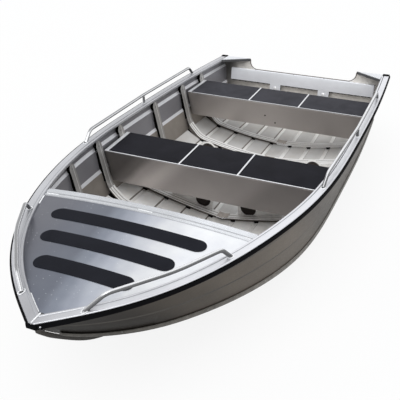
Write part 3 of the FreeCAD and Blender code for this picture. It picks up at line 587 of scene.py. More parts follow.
# painted shade: the outboard wall of each floor groove
M_GROOVE = metal("groove_wall_painted_shade", (128, 122, 116), 0.45, 0.2, ALONG, (0.14, 12))
M_GROOVE_FOOT = metal("groove_foot_metal", (254, 252, 249), 0.4, 0.05, ALONG, (0.04, 12))
# painted reflection: the fades lay light and dark patches across the thwarts' faces, darkest at
# the front thwart's starboard end
M_BULKHEAD_FORE = metal(
    "front_thwart_face_metal", (205, 197, 193), 0.36, 0.5, ACROSS, (0.06, 3.5), bump=0.04,
    rough_span=0.06, ripple=0.05,
    fade=((0, 1, -1), -1.04, 0.16, [
        (0, 0.14), (0.1, 0.25), (0.17, 0.5), (0.26, 0.68), (0.38, 0.46), (0.55, 0.5), (0.72, 0.5),
        (0.88, 0.32)]))
M_BULKHEAD_AFT = metal(
    "aft_thwart_face_metal", (205, 197, 192), 0.36, 0.5, ACROSS, (0.06, 3.5), bump=0.04,
    rough_span=0.06, ripple=0.05,
    fade=((0, 1, -0.6), -0.9, 0.4, [
        (0, 0.38), (0.12, 0.56), (0.3, 0.66), (0.5, 0.66), (0.75, 0.52), (1, 0.5)]))
# painted shade: the outer face, which tips a little down, is darker than the inner one, and the
# fade darkens it towards its sides, most to starboard
M_TRANSOM = metal(
    "transom_metal", (226, 222, 216), 0.42, 0.3, ACROSS, (0.2, 14),
    facing=[(0, 0.42), (0.46, 0.42), (0.54, 1), (1, 1)],
    fade=((0, 1, 0), -0.75, 0.75, [
        (0, 0.1), (0.06, 0.16), (0.14, 0.72), (0.3, 0.95), (0.9, 0.95), (1, 0.62)]))
M_BEAM = metal("beam_metal", (240, 242, 247), 0.4, 0.3, ACROSS, (0.06, 5))
M_WELD = metal(
    "weld_metal", (244, 245, 247), rough=0.42, metallic=0.35, brush_scale=700, blotch=(0.08, 40),
    bump=0.5)
M_STEEL = metal("bright_steel_metal", (205, 206, 210), rough=0.2, metallic=1, blotch=(0.05, 3))
# painted light: only the tops that face up are light; sides and undersides are dark
M_KNEE = metal(
    "stern_plate_metal", (240, 242, 247), 0.4, 0.3, ACROSS, (0.06, 5),
    facing=[(0, 0.12), (0.55, 0.13), (0.8, 0.22), (0.95, 1), (1, 1)])
# painted shade: the dark tone of the rim along the transom's notch
M_RIM_SHADE = metal("transom_rim_painted_shade", (104, 97, 93), 0.45, 0.2, ACROSS, (0.3, 18))
# painted shade: dark sheets that stand for the shade in openings, hollows and gaps
M_HOLE = sheet_material("opening_shade", (56, 51, 49), rough=0.9, bump=0.1, specular=0.1)
M_DARK = sheet_material("shadow_gap", (10, 9, 9), rough=0.9, bump=0.1, specular=0.1)
M_RUBBER = sheet_material("rub_rubber", (9, 9, 11), rough=0.8, bump=0.15, specular=0.05)
M_GRIP = sheet_material(
    "grip_sheet", (34, 35, 41), rough=0.9, grain=1400, bump=0.5, specular=0.08, blotch=0.12)
M_PAD_FRONT = sheet_material(
    "front_pad_sheet", (36, 36, 41), rough=0.88, grain=1400, bump=0.6, specular=0.1, blotch=0.16)
M_PAD_AFT = sheet_material(
    "aft_pad_sheet", (66, 66, 71), rough=0.88, grain=1400, bump=0.6, specular=0.1, blotch=0.16)
M_PLASTIC = sheet_material("moulded_plastic", (30, 30, 32), rough=0.5, grain=600, bump=0.2)

# ---------------- plating
def side_top(r):
    return (r.beam - SIDE_INSET * r.wide, r.sheer - SHEET)


def side_foot(r):
    return (r.chine_y, r.chine_z + r.lift)


STEP_HALF, STEP_OUT, STEP_BACK = 0.028, 0.007, 0.002   # a pressed step: share, and depths


def side_line(r, inward=0.0):
    """The side plating's outer line, from under the gunwale down to the chine."""
    top, foot = side_top(r), side_foot(r)
    pts = [(top[0] - inward, top[1])]
    for place in STEPS:
        y, z = mix(top, foot, place - STEP_HALF)
        pts.append((y + STEP_OUT * r.press - inward, z))
        y, z = mix(top, foot, place + STEP_HALF)
        pts.append((y - STEP_BACK * r.press - inward, z))
    pts.append((foot[0] - inward, foot[1] - inward * r.slope))
    return pts


def side_corners(r):
    return side_line(r) + side_line(r, WALL * r.wide)[::-1]


N_SIDE = len(soften(side_line(row_at(0.0)), 0.004))
side_groups = [0] * (N_SIDE - 1) + [1] * (N_SIDE + 1)
for corner in (1, 3):                    # the two pressed steps: painted highlight on their inner faces, painted shade on their outer ones
    last = 4 * corner                    # every inner corner has four points
    for k in (last - 1, last, last + 1):
        side_groups[2 * N_SIDE - 2 - k] = 2
        side_groups[k] = 3
for k in range(14, N_SIDE - 1):          # the lowest strake's inner face, in a painted-light copy of the inside's tone
    side_groups[2 * N_SIDE - 2 - k] = 4
pair("side_plating", side_corners, in_two(6, 0.004), 0.0, TIP - 0.04, 110,
     [M_OUTSIDE, M_INSIDE, M_STEP_HIGHLIGHT, M_STEP_SHADE, M_INSIDE_LOW], groups=side_groups, cut="transom",
     slot=PLATE, nodes=["hull_side"])


def bottom_line(r, lift):
    depth = GROOVE_DEPTH * r.press
    pts = [(0.0, r.keel_z + lift)]
    for place in GROOVES:
        for offset, drop in ((-GROOVE_HALF, 0.0), (-GROOVE_FOOT, -depth),
                             (GROOVE_FOOT, -depth), (GROOVE_HALF, 0.0)):
            y, z = bottom_point(r, place + offset)
            pts.append((y, z + drop + lift))
    pts.append((r.chine_y, r.chine_z + lift))
    return pts


def bottom_corners(r):
    return bottom_line(r, 0.0) + bottom_line(r, r.lift)[::-1]


N_BOTTOM = len(soften(bottom_line(row_at(0.0), 0.0), 0.003, 2))
bottom_groups = [0] * (N_BOTTOM - 1) + [1] * (N_BOTTOM + 1)
for groove in range(len(GROOVES)):       # each groove's outboard wall is in shade
    last = 3 * (4 * groove + 3)          # every inner corner has three points
    for k in (last, last + 1):
        bottom_groups[2 * N_BOTTOM - 2 - k] = 2
    for k in range(last - 7, last):
        bottom_groups[2 * N_BOTTOM - 2 - k] = 3
pair("bottom_plating", bottom_corners, in_two(18, 0.003, 2), 0.0, TIP - 0.05, 90,
     [M_KEELSIDE, M_FLOOR, M_GROOVE, M_GROOVE_FOOT], groups=bottom_groups, cut="transom",
     slot=PLATE, nodes=["hull_bottom"])


def chine_corners(r):
    """A folded seam with two ridges over the corner between side and bottom."""
    foot = side_foot(r)
    strake_top = side_line(r)[-2]
    strip = bottom_line(r, 0.0)[-2]
    high = mix(foot, strake_top, 0.17)
    under = mix((r.chine_y, r.chine_z), strip, 0.18)
    out = 0.008 * r.wide
    half = mix(high, foot, 0.5)
    return [foot, high, (high[0] + out * 0.75, high[1] - 0.001),
            (half[0] + out * 0.55, half[1] + 0.003), (half[0] + out, half[1] - 0.004),
            (r.chine_y + out, r.chine_z - 0.005), (under[0], under[1] - 0.005), under,
            (r.chine_y, r.chine_z)]


pair("chine_seam", chine_corners, all_round(0.0022), 0.0, TIP - 0.105, 100, M_SEAM,
     cut="transom", slot=EXTRUDED, nodes=["chine_bar"])


# ---------------- gunwales
def from_edge(corners):
    """Corners that keep their places out from and up from the gunwale's outer top edge."""
    return lambda r: [(r.beam + u * r.wide, r.sheer + v) for u, v in corners]


# A folded channel: flat top, a rolled bead on its inner edge, a short lip below it.
GUNWALE_CORNERS = (
    (-0.055, -0.02), (-0.055, -0.004), (-0.0515, 0), (-0.0445, 0), (-0.042, -0.0028),
    (-0.039, -0.003), (-0.036, -0.0006), (-0.004, -0.0004), (0, -0.004), (0, -0.034),
    (-0.005, -0.034), (-0.005, -0.0045), (-0.051, -0.0045), (-0.051, -0.02))
RUB_CORNERS = ((0, -0.03), (0.0075, -0.03), (0.0087, -0.022), (0.0087, -0.011),
               (0.0065, -0.004), (0, -0.004))
gunwale_groups = [0] * (3 * len(GUNWALE_CORNERS))
for k in range(3 * 4, 3 * 5 + 2):        # the crease outboard of the bead, in painted shade
    gunwale_groups[k] = 1
for k in (-1, 0, 1):                     # and the lip under it, in painted shade too
    gunwale_groups[k] = 1
pair("gunwale_rail", from_edge(GUNWALE_CORNERS), all_round(0.0025), 0.0, TIP, 130,
     [M_GUNWALE, M_CREASE_SHADE], groups=gunwale_groups, cut="middle", slot=EXTRUDED,
     nodes=["gunwale"])
pair("rub_moulding", from_edge(RUB_CORNERS), all_round(0.003), 0.0, TIP, 130, M_RUBBER,
     cut="middle", slot="black_rubber", nodes=["rub_strip"])


# ---------------- keel, stem, runners
def under_line(r, y):
    return bottom_point(r, y / r.chine_y)[1]


KEEL_HALF, KEEL_DEPTH, KEEL_AFT, KEEL_FORE = 0.03, 0.006, 0.11, 2.000
STEM_HALF, STEM_DEPTH = 0.02, 0.014


def bar_corners(half, low, edge, r):
    """A flat bar under the plating, its top fitted to the V of the bottom."""
    return [(-half, low), (half, low), (half, edge), (0.0, r.keel_z), (-half, edge)]


def keel_corners(r):
    return bar_corners(KEEL_HALF, -KEEL_DEPTH, under_line(r, KEEL_HALF), r)


def keel_shape(pts):
    """The bar's foot is planed flat, with its lower edges eased."""
    flat = [(y, max(z, 0.0)) for y, z in pts]
    return soften(flat, [0.004, 0.004, 0.001, 0.001, 0.001], 2, closed=True)


loft("keel", keel_corners, keel_shape, KEEL_AFT, KEEL_FORE, 30, M_KEELSIDE, slot=EXTRUDED,
     nodes=["keel_bar"], ease=1.0)


def stem_corners(r):
    lo, hi = max(r.x - 0.001, 0.0), min(r.x + 0.001, TIP)
    climb = (CURVES[4](hi) - CURVES[4](lo)) / 0.002
    half = min(STEM_HALF, r.chine_y)
    edge = under_line(r, half)
    depth = STEM_DEPTH * math.sqrt(1.0 + climb * climb)
    return bar_corners(half, min(r.keel_z - depth, edge - depth), edge, r)


loft("stem", stem_corners, all_round([0.007, 0.007, 0.001, 0.001, 0.001], 3),
     KEEL_FORE + GAP, TIP - 0.03, 70, M_KEELSIDE,
     slot=EXTRUDED, nodes=["stem_bar"], ease=1.3)

RUNNER_AFT, RUNNER_FORE = 0.16, 2.9
runners = Batch()
for place in (0.467, 0.7):
    for hand in (1.0, -1.0):
        rings = []
        for x in split(RUNNER_AFT, RUNNER_FORE, 60):
            r = row_at(x)
            a, b = bottom_point(r, place - 0.018), bottom_point(r, place + 0.018)
            pts = soften([a, (a[0] + 0.004, a[1] - 0.014), (b[0] - 0.004, b[1] - 0.014), b],
                         0.003, 2, closed=True)
            rings.append([(r.x, hand * y, z) for y, z in pts])
        runners.rings(rings)
runners.make("runners", M_KEELSIDE, slot=EXTRUDED, nodes=["bottom_runners"])


# ---------------- ring frames
def base_y(r, z, inset):
    top, foot = side_top(r), side_foot(r)
    return mix(top, foot, (top[1] - z) / (top[1] - foot[1]))[0] - inset


RIB_INSET = WALL + 0.002 + RIB_DEPTH
RIB_TOP = 0.024                  # below the sheer
FRAMES = (("frame_1", 2.39), ("frame_2", 2.03), ("frame_3", 1.742), ("frame_4", 1.258),
          ("frame_5", 0.828), ("frame_6", 0.512))
FRAME_LENGTH = 0.064
FLOOR_RIB, NEAR_BY = 0.018, 0.03   # rib over the floor; how far off its slope is read
KNEE_RUN, KNEE_RISE = 0.105, 0.058
HOLE_DOWN, JOINT_HALF = 0.04, 0.038   # from the frame's top to its hole; joining plate
notch_shade, joiners, welds, frame_holes = Batch(), Batch(), Batch(), Batch()


def frame_path(r):
    """Inner face of a frame from the rib's top to the keel, in a smooth sweep over the floor."""
    lift = r.lift + GAP
    knee_z = r.chine_z + lift + KNEE_RISE
    top_z = r.sheer - RIB_TOP
    path = [(base_y(r, top_z, RIB_INSET), top_z), (base_y(r, knee_z, RIB_INSET), knee_z)]
    foot = 1.0 - KNEE_RUN / r.chine_y
    for share in (foot, 0.7, 0.54, 0.38, 0.22, 0.08, 0.0):
        y, z = bottom_point(r, share)
        path.append((y, z + lift + FLOOR_RIB))
    return path


def reach(point, way, line):
    """How far it is from a point to a line of points, on either hand of the keel."""
    best = 0.2
    for pts in (line, [(-y, z) for y, z in line]):
        for a, b in zip(pts, pts[1:]):
            ex, ey = b[0] - a[0], b[1] - a[1]
            det = way[0] * -ey + ex * way[1]
            if abs(det) < 1e-12:
                continue
            dx, dy = a[0] - point[0], a[1] - point[1]
            t = (dx * -ey + ex * dy) / det
            u = (way[0] * dy - way[1] * dx) / det
            if t > 0.001 and -1e-6 <= u <= 1.000001:
                best = min(best, t)
    return best


# Strips across a frame's inner face, from its front edge: where each ends, as a share.
WEB_ENDS = (0.13, 0.23, 0.56, 0.66)
SHEET_IN, CHANNEL = 0.0022, 0.0025     # how far its folds are rounded back, and its sheet


def channel_profile(w, flange, deep):
    """A channel with its open side to the plating and a slot along its front foot.

    At the plating its hollow is closed by a sheet in painted shade.
    """
    web = [(w - 2 * w * share, 0.0) for share in WEB_ENDS]
    return ([(w, flange), (w, SHEET_IN), (w - SHEET_IN, 0.0)] + web
            + [(-w + SHEET_IN, 0.0), (-w, SHEET_IN), (-w, deep), (w - 0.002, deep),
               (w - 0.002, deep - 0.0008), (-w + CHANNEL, deep - 0.0008), (-w + CHANNEL, CHANNEL),
               (w - CHANNEL, CHANNEL), (w - CHANNEL, flange)])


# painted light on the frames' faces: 2 lines the channel's hollow in painted shade, 3 is a painted
# highlight strip on the side webs, 4 thin lines of painted shade on the floor ribs, 5 painted
# shade on their front leg
FRAME_MATS = (M_FRAME, M_FLOOR_RIB, M_DARK, M_FRAME_HIGHLIGHT, M_RIB_FOLD_SHADE, M_RIB_SHADE)
SIDE_STRIPS = [0, 0, 0, 0, 0, 3, 0, 0, 0] + [2] * 7
FLOOR_STRIPS = [1, 1, 1, 4, 1, 4, 1, 1, 1] + [2] * 7
SHADED_STRIPS = [5, 1, 1, 4, 1, 4, 1, 1, 1] + [2] * 7
ARCH = ((-0.012, -0.0085), (0.012, -0.0085), (0.018, 0.0), (0.0165, 0.008), (-0.0165, 0.008),
        (-0.018, 0.0))           # painted shade in the opening over a groove, across and up


def ring_frame(name, front_x):
    """One folded channel from gunwale to gunwale, with its holes, arches, joint and welds."""
    middle = row_at(front_x - FRAME_LENGTH / 2)
    corners = frame_path(middle)
    half = soften(corners, [0, 0.045, 0.04] + [0.04] * 5 + [0], 7)
    line = []
    for a, b in zip(half, half[1:]):
        n = max(int(math.dist(a, b) / 0.03), 1)
        line += [mix(a, b, k / n) for k in range(n)]
    line.append(half[-1])
    line += [(-y, z) for y, z in line[::-1][1:]]
    count = len(line)
    plating = side_line(middle, WALL * middle.wide + GAP)[:-1]
    plating.append((middle.chine_y - 0.0005, middle.chine_z + middle.lift + GAP))
    plating += floor_line(middle, middle.lift + GAP)[:-1][::-1]
    lengths = [0.0]
    for a, b in zip(line, line[1:]):
        lengths.append(lengths[-1] + math.dist(a, b))
    fore, aft = row_at(middle.x + NEAR_BY), row_at(middle.x - NEAR_BY)
    rings = []
    for k, (y, z) in enumerate(line):
        a, b = line[max(k - 1, 0)], line[min(k + 1, count - 1)]
        ty, tz = b[0] - a[0], b[1] - a[1]
        size = math.hypot(ty, tz)
        ty, tz = ty / size, tz / size
        ny, nz = tz, -ty                       # towards the plating
        away = ny * y < 0 if abs(tz) > 0.5 else nz > 0
        if away:
            ny, nz = -ny, -nz
        deep = reach((y, z), (ny, nz), plating)
        end = min(lengths[k], lengths[-1] - lengths[k])
        w = FRAME_LENGTH / 2
        if end < w:
            w = max(math.sqrt(max(w * w - (w - end) ** 2, 0.0)), 0.009)
        floor_share = min(max((corners[1][1] - z) / 0.05, 0.0), 1.0)
        shut = 0.3 if name == "frame_2" else 1.0      # its slot runs on along the floor
        flange = 0.0035 + (deep - 0.0049) * floor_share * shut
        climb = (under_line(fore, abs(y)) - under_line(aft, abs(y))) / (2 * NEAR_BY) * floor_share
        out = (base_y(fore, z, 0.0) - base_y(aft, z, 0.0)) / (2 * NEAR_BY) * (1.0 - floor_share)
        out *= math.copysign(1.0, y)           # the side plating's flare
        rings.append([(middle.x + u, y + ny * v + out * u, z + nz * v + climb * u)
                      for u, v in channel_profile(w, flange, deep)])
    size = len(rings[0])
    face_mats = []
    for i in range(count - 1):
        low = line[i][1] < corners[1][1] and line[i + 1][1] < corners[1][1]
        # painted shade on the floor ribs' front leg: their starboard half, and all of frame_3
        floor = SHADED_STRIPS if line[i][0] < 0.0 or name == "frame_3" else FLOOR_STRIPS
        face_mats += (floor if low else SIDE_STRIPS)[:size]
    face_mats += [0, 0]
    channel = Batch()
    channel.rings(rings)
    channel.make(name + "_channel", FRAME_MATS, face_mats=face_mats, slot=FRAME_SLOT, nodes=[name])
    # a hole near the top of each side and an arch over each pressed groove, both dark in painted
    # shade
    for hand in (1.0, -1.0):
        y, z = mix(corners[0], corners[1], HOLE_DOWN / (corners[0][1] - corners[1][1]))
        frame_holes.dome((front_x - FRAME_LENGTH * 0.4, hand * (y - 0.0004), z), 0.0042, 0.0008,
                         (0, -hand, 0))
    r = row_at(front_x)
    for place in GROOVES:
        y0, z0 = bottom_point(r, place)
        for hand in (1.0, -1.0):
            z = z0 + r.lift
            notch_shade.rings([[(front_x + x, hand * (y0 + a), z + b + a * r.slope) for a, b in ARCH]
                           for x in (-0.001, 0.001)])
    # joining plate and weld where the two halves meet over the keel
    z = corners[-1][1]
    slope = (corners[-2][1] - z) / corners[-2][0]
    rise = slope * JOINT_HALF
    plate = [(-JOINT_HALF, rise), (0.0, 0.0), (JOINT_HALF, rise)]
    top = [(y, z + b + 0.0026) for y, b in plate]
    low = [(y, z + b - 0.0008) for y, b in plate]
    ring = top + low[::-1]
    aft, fore = front_x - FRAME_LENGTH + 0.001, front_x + 0.0015
    joiners.rings([[(x, y, zz) for y, zz in ring] for x in (aft, fore)])
    welds.bead([Vector((fore + 0.001, y, z + abs(y) * slope + 0.001
                        - 0.0035 * (k % 2) - 0.004 * math.sin(k * 2.1)))
                for k, y in enumerate(split(-JOINT_HALF, JOINT_HALF, 12))], 0.0034)
    welds.bead([Vector((aft, y, z + b + 0.002)) for y, b in plate], 0.0026)


for name, front_x in FRAMES:
    ring_frame(name, front_x)
notch_shade.make("frame_notch_painted_shade", M_DARK, slot=FRAME_SLOT)
joiners.make("frame_joining_plates", M_JOINER, slot=FRAME_SLOT, angle=20)
frame_holes.make("frame_holes", M_DARK, slot=FRAME_SLOT)


# ---------------- foredeck
def deck_half(r):
    return r.beam - GUNWALE * r.wide - GAP


DECK_HALF = Curve(np.array([deck_half(r) for r in STATION_ROWS]))
DECK_AFT = 2.735
DECK_BELOW, CROWN = 0.012, 0.048   # below the sheer at its edge, and its rise as a share


def deck_z(x, y):
    half = max(DECK_HALF(x), 0.004)
    return CURVES[1](x) - DECK_BELOW + CROWN * half * (1.0 - (y / half) ** 2)


def deck_end():
    lo, hi = DECK_AFT, TIP
    for _ in range(40):
        middle = (lo + hi) / 2
        lo, hi = (middle, hi) if DECK_HALF(middle) > 0.025 else (lo, middle)
    return lo


DECK_FORE = deck_end()
cols, rows = 36, 44
verts = []
for layer in (0.0, -0.003):
    for i in range(rows + 1):
        x = DECK_AFT + (DECK_FORE - DECK_AFT) * (1.0 - (1.0 - i / rows) ** 1.2)
        half = DECK_HALF(x)
        verts += [(x, y, deck_z(x, y) + layer) for y in split(-half, half, cols)]
faces = []
size = (rows + 1) * (cols + 1)
for i in range(rows):
    for j in range(cols):
        a = i * (cols + 1) + j
        b = a + cols + 1
        faces.append((a, b, b + 1, a + 1))
        faces.append((size + a, size + a + 1, size + b + 1, size + b))
rim = [i * (cols + 1) for i in range(rows + 1)]
rim += [rows * (cols + 1) + j for j in range(1, cols + 1)]
rim += [i * (cols + 1) + cols for i in range(rows - 1, -1, -1)]
rim += range(cols - 1, 0, -1)
for a, b in zip(rim, rim[1:] + rim[:1]):
    faces.append((a, b, b + size, a + size))
finish_mesh("foredeck_sheet", verts, faces, M_DECK, slot=PLATE, nodes=["foredeck"])

# rolled aft edge: a tube with a stepped flange that laps onto the deck
TUBE_RADIUS = 0.019
tube_x = DECK_AFT - TUBE_RADIUS - GAP
# the flange's section: how far ahead of the tube's axis, and how high over the deck
profile = [(0.012, 0.0042), (0.034, 0.0042), (0.0355, 0.0028), (0.04, 0.0028),
           (0.0415, 0.0038), (0.062, 0.0038), (0.064, 0.002), (0.067, 0.0004),
           (0.067, -0.0004), (0.012, -0.0004)]
# 1 marks the flange's lines in painted shade
FLANGE_STRIPS = [0, 1, 1, 1, 0, 1, 1, 0, 0, 0]
tube_profile = circle(TUBE_RADIUS, 28)
half = DECK_HALF(tube_x) - TUBE_RADIUS * 0.3
edge_rings, flange_rings = [], []
steps = 60
for y in split(-half, half, steps):
    z = deck_z(tube_x, y) - TUBE_RADIUS * 0.8
    edge_rings.append([(tube_x + u, y, z + v) for u, v in tube_profile])
    flange_rings.append([])
    for u, v in profile:
        most = DECK_HALF(tube_x + u) - 0.0005
        yy = min(max(y, -most), most)
        flange_rings[-1].append((tube_x + u, yy, deck_z(tube_x + u, yy) + v))
edge = Batch()
edge.rings(edge_rings)
strips = [0] * len(edge.faces)
edge.rings(flange_rings)
strips += FLANGE_STRIPS * steps + [0, 0]
edge.make("foredeck_rolled_edge", [M_EDGE, M_CREASE_SHADE], face_mats=strips, slot=EXTRUDED,
          nodes=["foredeck_edge_tube"])

# non-skid strips
GRIP_RADIUS, GRIP_SHARE = 0.047, 0.8
grips = Batch()
for share in (0.168, 0.388, 0.608):      # their aft edges along the deck
    middle = DECK_AFT + (DECK_FORE - DECK_AFT) * share + GRIP_RADIUS
    half = GRIP_SHARE * deck_half(row_at(middle))
    flat = half - GRIP_RADIUS
    ys = [-half + GRIP_RADIUS * (1.0 - math.cos(u)) for u in split(0, math.pi / 2, 10)]
    ys += split(-flat, flat, 30)[1:-1] + [-y for y in ys[::-1]]
    rings = []
    for y in ys:
        past = max(abs(y) - flat, 0.0)
        w = math.sqrt(max(GRIP_RADIUS ** 2 - past * past, 4e-7))
        top = w - min(0.0012, 0.4 * w)
        edge = [(-w, 0.0004), (-w, 0.0024)] + [(u, 0.0033) for u in split(-top, top, 5)]
        edge += [(w, 0.0024), (w, 0.0004)]
        rings.append([(middle + u, y, deck_z(middle + u, y) + v) for u, v in edge])
    grips.rings(rings)
grips.make("deck_grip_strips", M_GRIP, slot="grip_foam", nodes=["deck_grips"])

# welds round the deck: short runs, as a welder leaves them
for hand, runs in ((1.0, ((0.985, 0.925), (0.1, -0.04))), (-1.0, ((0.985, 0.85),))):
    for a, b in ((2.785, 2.87), (3.52, 3.612)):
        welds.bead([Vector((x, hand * (DECK_HALF(x) - 0.001), deck_z(x, DECK_HALF(x)) + 0.001))
                    for x in split(a, b, 6)], 0.0048)
    x, half = tube_x + 0.045, DECK_HALF(tube_x + 0.044)
    for a, b in runs:
        welds.bead([Vector((x, hand * half * share, deck_z(x, half * share) + 0.002))
                    for share in split(a, b, 6)], 0.0046)


# ---------------- thwarts
for name, pad, face in (("front_thwart", M_PAD_FRONT, M_BULKHEAD_FORE),
                        ("aft_thwart", M_PAD_AFT, M_BULKHEAD_AFT)):
    bevelled(name + "_bulkheads", name + "_box", face, 0.0025, 3)
    bevelled(name + "_seat_plate", name + "_top", face, 0.001, 1)
    bevelled(name + "_pad_sheets", name + "_pads", pad, 0.0016, 2)
    bevelled(name + "_trim_strips", name + "_trim", M_TRIM, 0.0014, 2)

# ---------------- rails
bright, dark = Batch(), Batch()      # bright fittings, and dark holes and painted shadows, added to below


def bar_path(points, bends):
    """Straight runs joined by tangent arcs."""
    out = [points[0]]
    for k in range(1, len(points) - 1):
        corner = points[k]
        back = (points[k - 1] - corner).normalized()
        ahead = (points[k + 1] - corner).normalized()
        turn = math.pi - back.angle(ahead)
        if turn < 0.002:
            continue
        shorter = min((points[k - 1] - corner).length, (points[k + 1] - corner).length)
        run = min(bends[k] * math.tan(turn / 2), 0.45 * shorter)
        arc = run / math.tan(turn / 2)
        centre = corner + (back + ahead).normalized() * (arc / math.cos(turn / 2))
        a, b = corner + back * run - centre, corner + ahead * run - centre
        for share in split(0.0, 1.0, 10):
            out.append(centre + (a * math.sin((1 - share) * turn) + b * math.sin(share * turn))
                       / math.sin(turn))
    out.append(points[-1])
    return out


RAIL_RADIUS, POST_RADIUS = 0.0103, 0.0092
RAIL_UP, POST_X, POST_WELD = 0.062, 1.34, 0.052


def rail_point(x, height, inset, hand):
    r = row_at(x)
    return Vector((x, hand * (r.beam - inset), r.sheer + height + GAP))


def rail(name, rows, inset, bends, hand, nodes, post_x=None):
    """A bent bar on the gunwale, with its post and the weld round every foot."""
    points = [rail_point(x, height, inset, hand) for x, height in rows]
    path = []
    smooth = bar_path(points, bends)
    for a, b in zip(smooth, smooth[1:]):
        n = max(int((b - a).length / 0.05), 1)
        path += [a.lerp(b, k / n) for k in range(n)]
    path.append(points[-1])
    batch = Batch()
    batch.add(*sweep(path, circle(RAIL_RADIUS, 22)))
    feet = [points[0], points[-1]]
    if post_x:
        foot = rail_point(post_x, 0.0, inset, hand)
        batch.add(*sweep([foot + Vector((0, 0, up)) for up in (0.0, 0.03, 0.058)],
                         circle(POST_RADIUS, 20)))
        feet.append(foot)
        head = foot + Vector((0, 0, POST_WELD))
        welds.collar(head, 0.0028, 1.03 * POST_RADIUS, 1.03 * POST_RADIUS, 16, 0.0, 0.0018)
    # the port and starboard rails carry different painted reflections
    batch.make(name, M_TUBE if hand > 0 else M_TUBE_INNER, slot="round_bar_aluminium", nodes=nodes)
    for k, foot in enumerate(feet):
        run = (points[1] if k == 0 else points[-2]) - foot
        lean = run.length / abs(run.z) if k < 2 else 1.0     # the post stands upright
        welds.collar(foot, 0.0036, 1.07 * RAIL_RADIUS * lean, 1.07 * RAIL_RADIUS, 20, 0.0012)


BOW_RAIL = ((2.946, 0.0), (2.998, RAIL_UP), (3.225, RAIL_UP), (3.475, RAIL_UP), (3.54, 0.0))
SIDE_RAIL = ((0.585, 0.0), (0.64, RAIL_UP), (POST_X, RAIL_UP), (2.045, RAIL_UP), (2.112, 0.0))
for side, hand in SIDES:
    rail("bow_rail_tube_" + side, BOW_RAIL, 0.03, [0, 0.05, 0.9, 0.08, 0], hand,
         ["bow_rail_" + side])
    rail("side_rail_tube_" + side, SIDE_RAIL, 0.022, [0, 0.05, 0.2, 0.08, 0], hand,
         ["side_rail_" + side], POST_X)

# ---------------- transom
for name, node, mat, width, segments, slot in (
        ("transom_sheet", "transom_plate", M_TRANSOM, 0.0012, 2, PLATE),
        ("transom_box_beam", "transom_beam", M_BEAM, 0.004, 3, "beam_aluminium"),
        ("stern_corner_plate_port", "transom_knee_port", M_KNEE, 0.001, 2, PLATE),
        ("stern_corner_plate_starboard", "transom_knee_starboard", M_KNEE, 0.001, 2, PLATE),
        ("front_bearer_plates", "front_bearers", M_BEARER, 0.0008, 1, PLATE),
        ("aft_bearer_plates", "aft_bearers", M_BEARER, 0.0008, 1, PLATE),
        ("motor_clamp_pad", "motor_pad", M_PLASTIC, 0.003, 3, "pad_plastic"),
        ("bung", "drain_bung", M_PLASTIC, 0.0015, 2, "pad_plastic"),
        ("towing_eye", "bow_eye", M_STEEL, 0.002, 3, "bright_steel"),
        ("bow_tip_cap", "bow_cap", M_RUBBER, 0.003, 3, "black_rubber"),
        ("stern_corner_caps", "stern_caps", M_RUBBER, 0.0012, 2, "black_rubber")):
    bevelled(name, node, mat, width, segments)

TOP0 = STATION_ROWS[0].sheer
TIPPED = Matrix.Rotation(-RAKE, 3, "Y")


def on_transom(x, y, z):
    """A point drawn on an upright transom, tipped to the real rake."""
    return Vector((0, 0, TOP0)) + TIPPED @ Vector((x, y, z - TOP0))


BEAM_FACE, BEAM_FOOT, STRAP_HALF = 0.0383, 0.362, 0.048
NORMAL_IN = TIPPED @ Vector((1, 0, 0))
UP_IN = TIPPED @ Vector((0, 0, 1))
for y in (-0.4, -0.06, 0.2):
    dark.dome(on_transom(0.03, y, 0.4622), 0.006, 0.0012, UP_IN)
for y in (-0.21, 0.21):
    welds.dome(on_transom(BEAM_FACE + 0.0002, y, 0.331), 0.015, 0.004, NORMAL_IN)
    # the shadow beside each strap, on its port side
    edge_y = y + STRAP_HALF
    dark.rings([[on_transom(BEAM_FACE - x, yy, z) for yy, z in (
        (edge_y, 0.322), (edge_y + 0.005, 0.322), (edge_y + 0.005, 0.366), (edge_y, 0.366))]
        for x in (0.0016, 0.0008)])
# the rolled rim along the notch, up both its round corners, dark with painted shade
low, turn = 0.464, 0.066
edge = [(0.392 + turn * math.sin(u), low + turn * (1.0 - math.cos(u)))
        for u in (k * math.pi / 16 for k in range(9))] + [(0.458, 0.54)]
rim = Batch()
rim.add(*sweep([on_transom(0.005, -y, z) for y, z in edge[::-1]]
               + [on_transom(0.005, y, z) for y, z in edge], circle(0.0038, 10)))
rim.make("transom_rim", M_RIM_SHADE, slot=PLATE)
# painted shade: the gap under the beam, drawn as a broken dark line
gap = [(y, 0.005 + 0.0028 * math.sin(k * 1.7) * math.cos(k * 0.53))
       for k, y in enumerate(split(-0.6, 0.6, 120))]
dark.add([on_transom(BEAM_FACE - x, y, BEAM_FOOT + z) for y, drop in gap for x, z in (
    (0.0016, 0.0005), (0.0016, -drop), (0.001, -drop), (0.001, 0.0005))],
    ring_faces(len(gap), 4)[:-2])        # its ends stay open

# painted shade: dark discs close behind the bearers' holes, where there is only shade under the
# thwarts
HOLE_SHADE_RADIUS, AFT_THWART_FORE = 0.056, 0.742
shade = Batch()
for x, y, up in ((1.6737, 0.165, 0.065), (1.02, 0.415, 0.062)):
    r = row_at(x)
    z = under_line(r, y) + r.lift + up
    for hand in (1.0, -1.0):
        shade.rings([[(x - 0.0022 + d, hand * y + a, z + b) for a, b in circle(HOLE_SHADE_RADIUS, 36)]
                     for d in (0.0, 0.0016)])

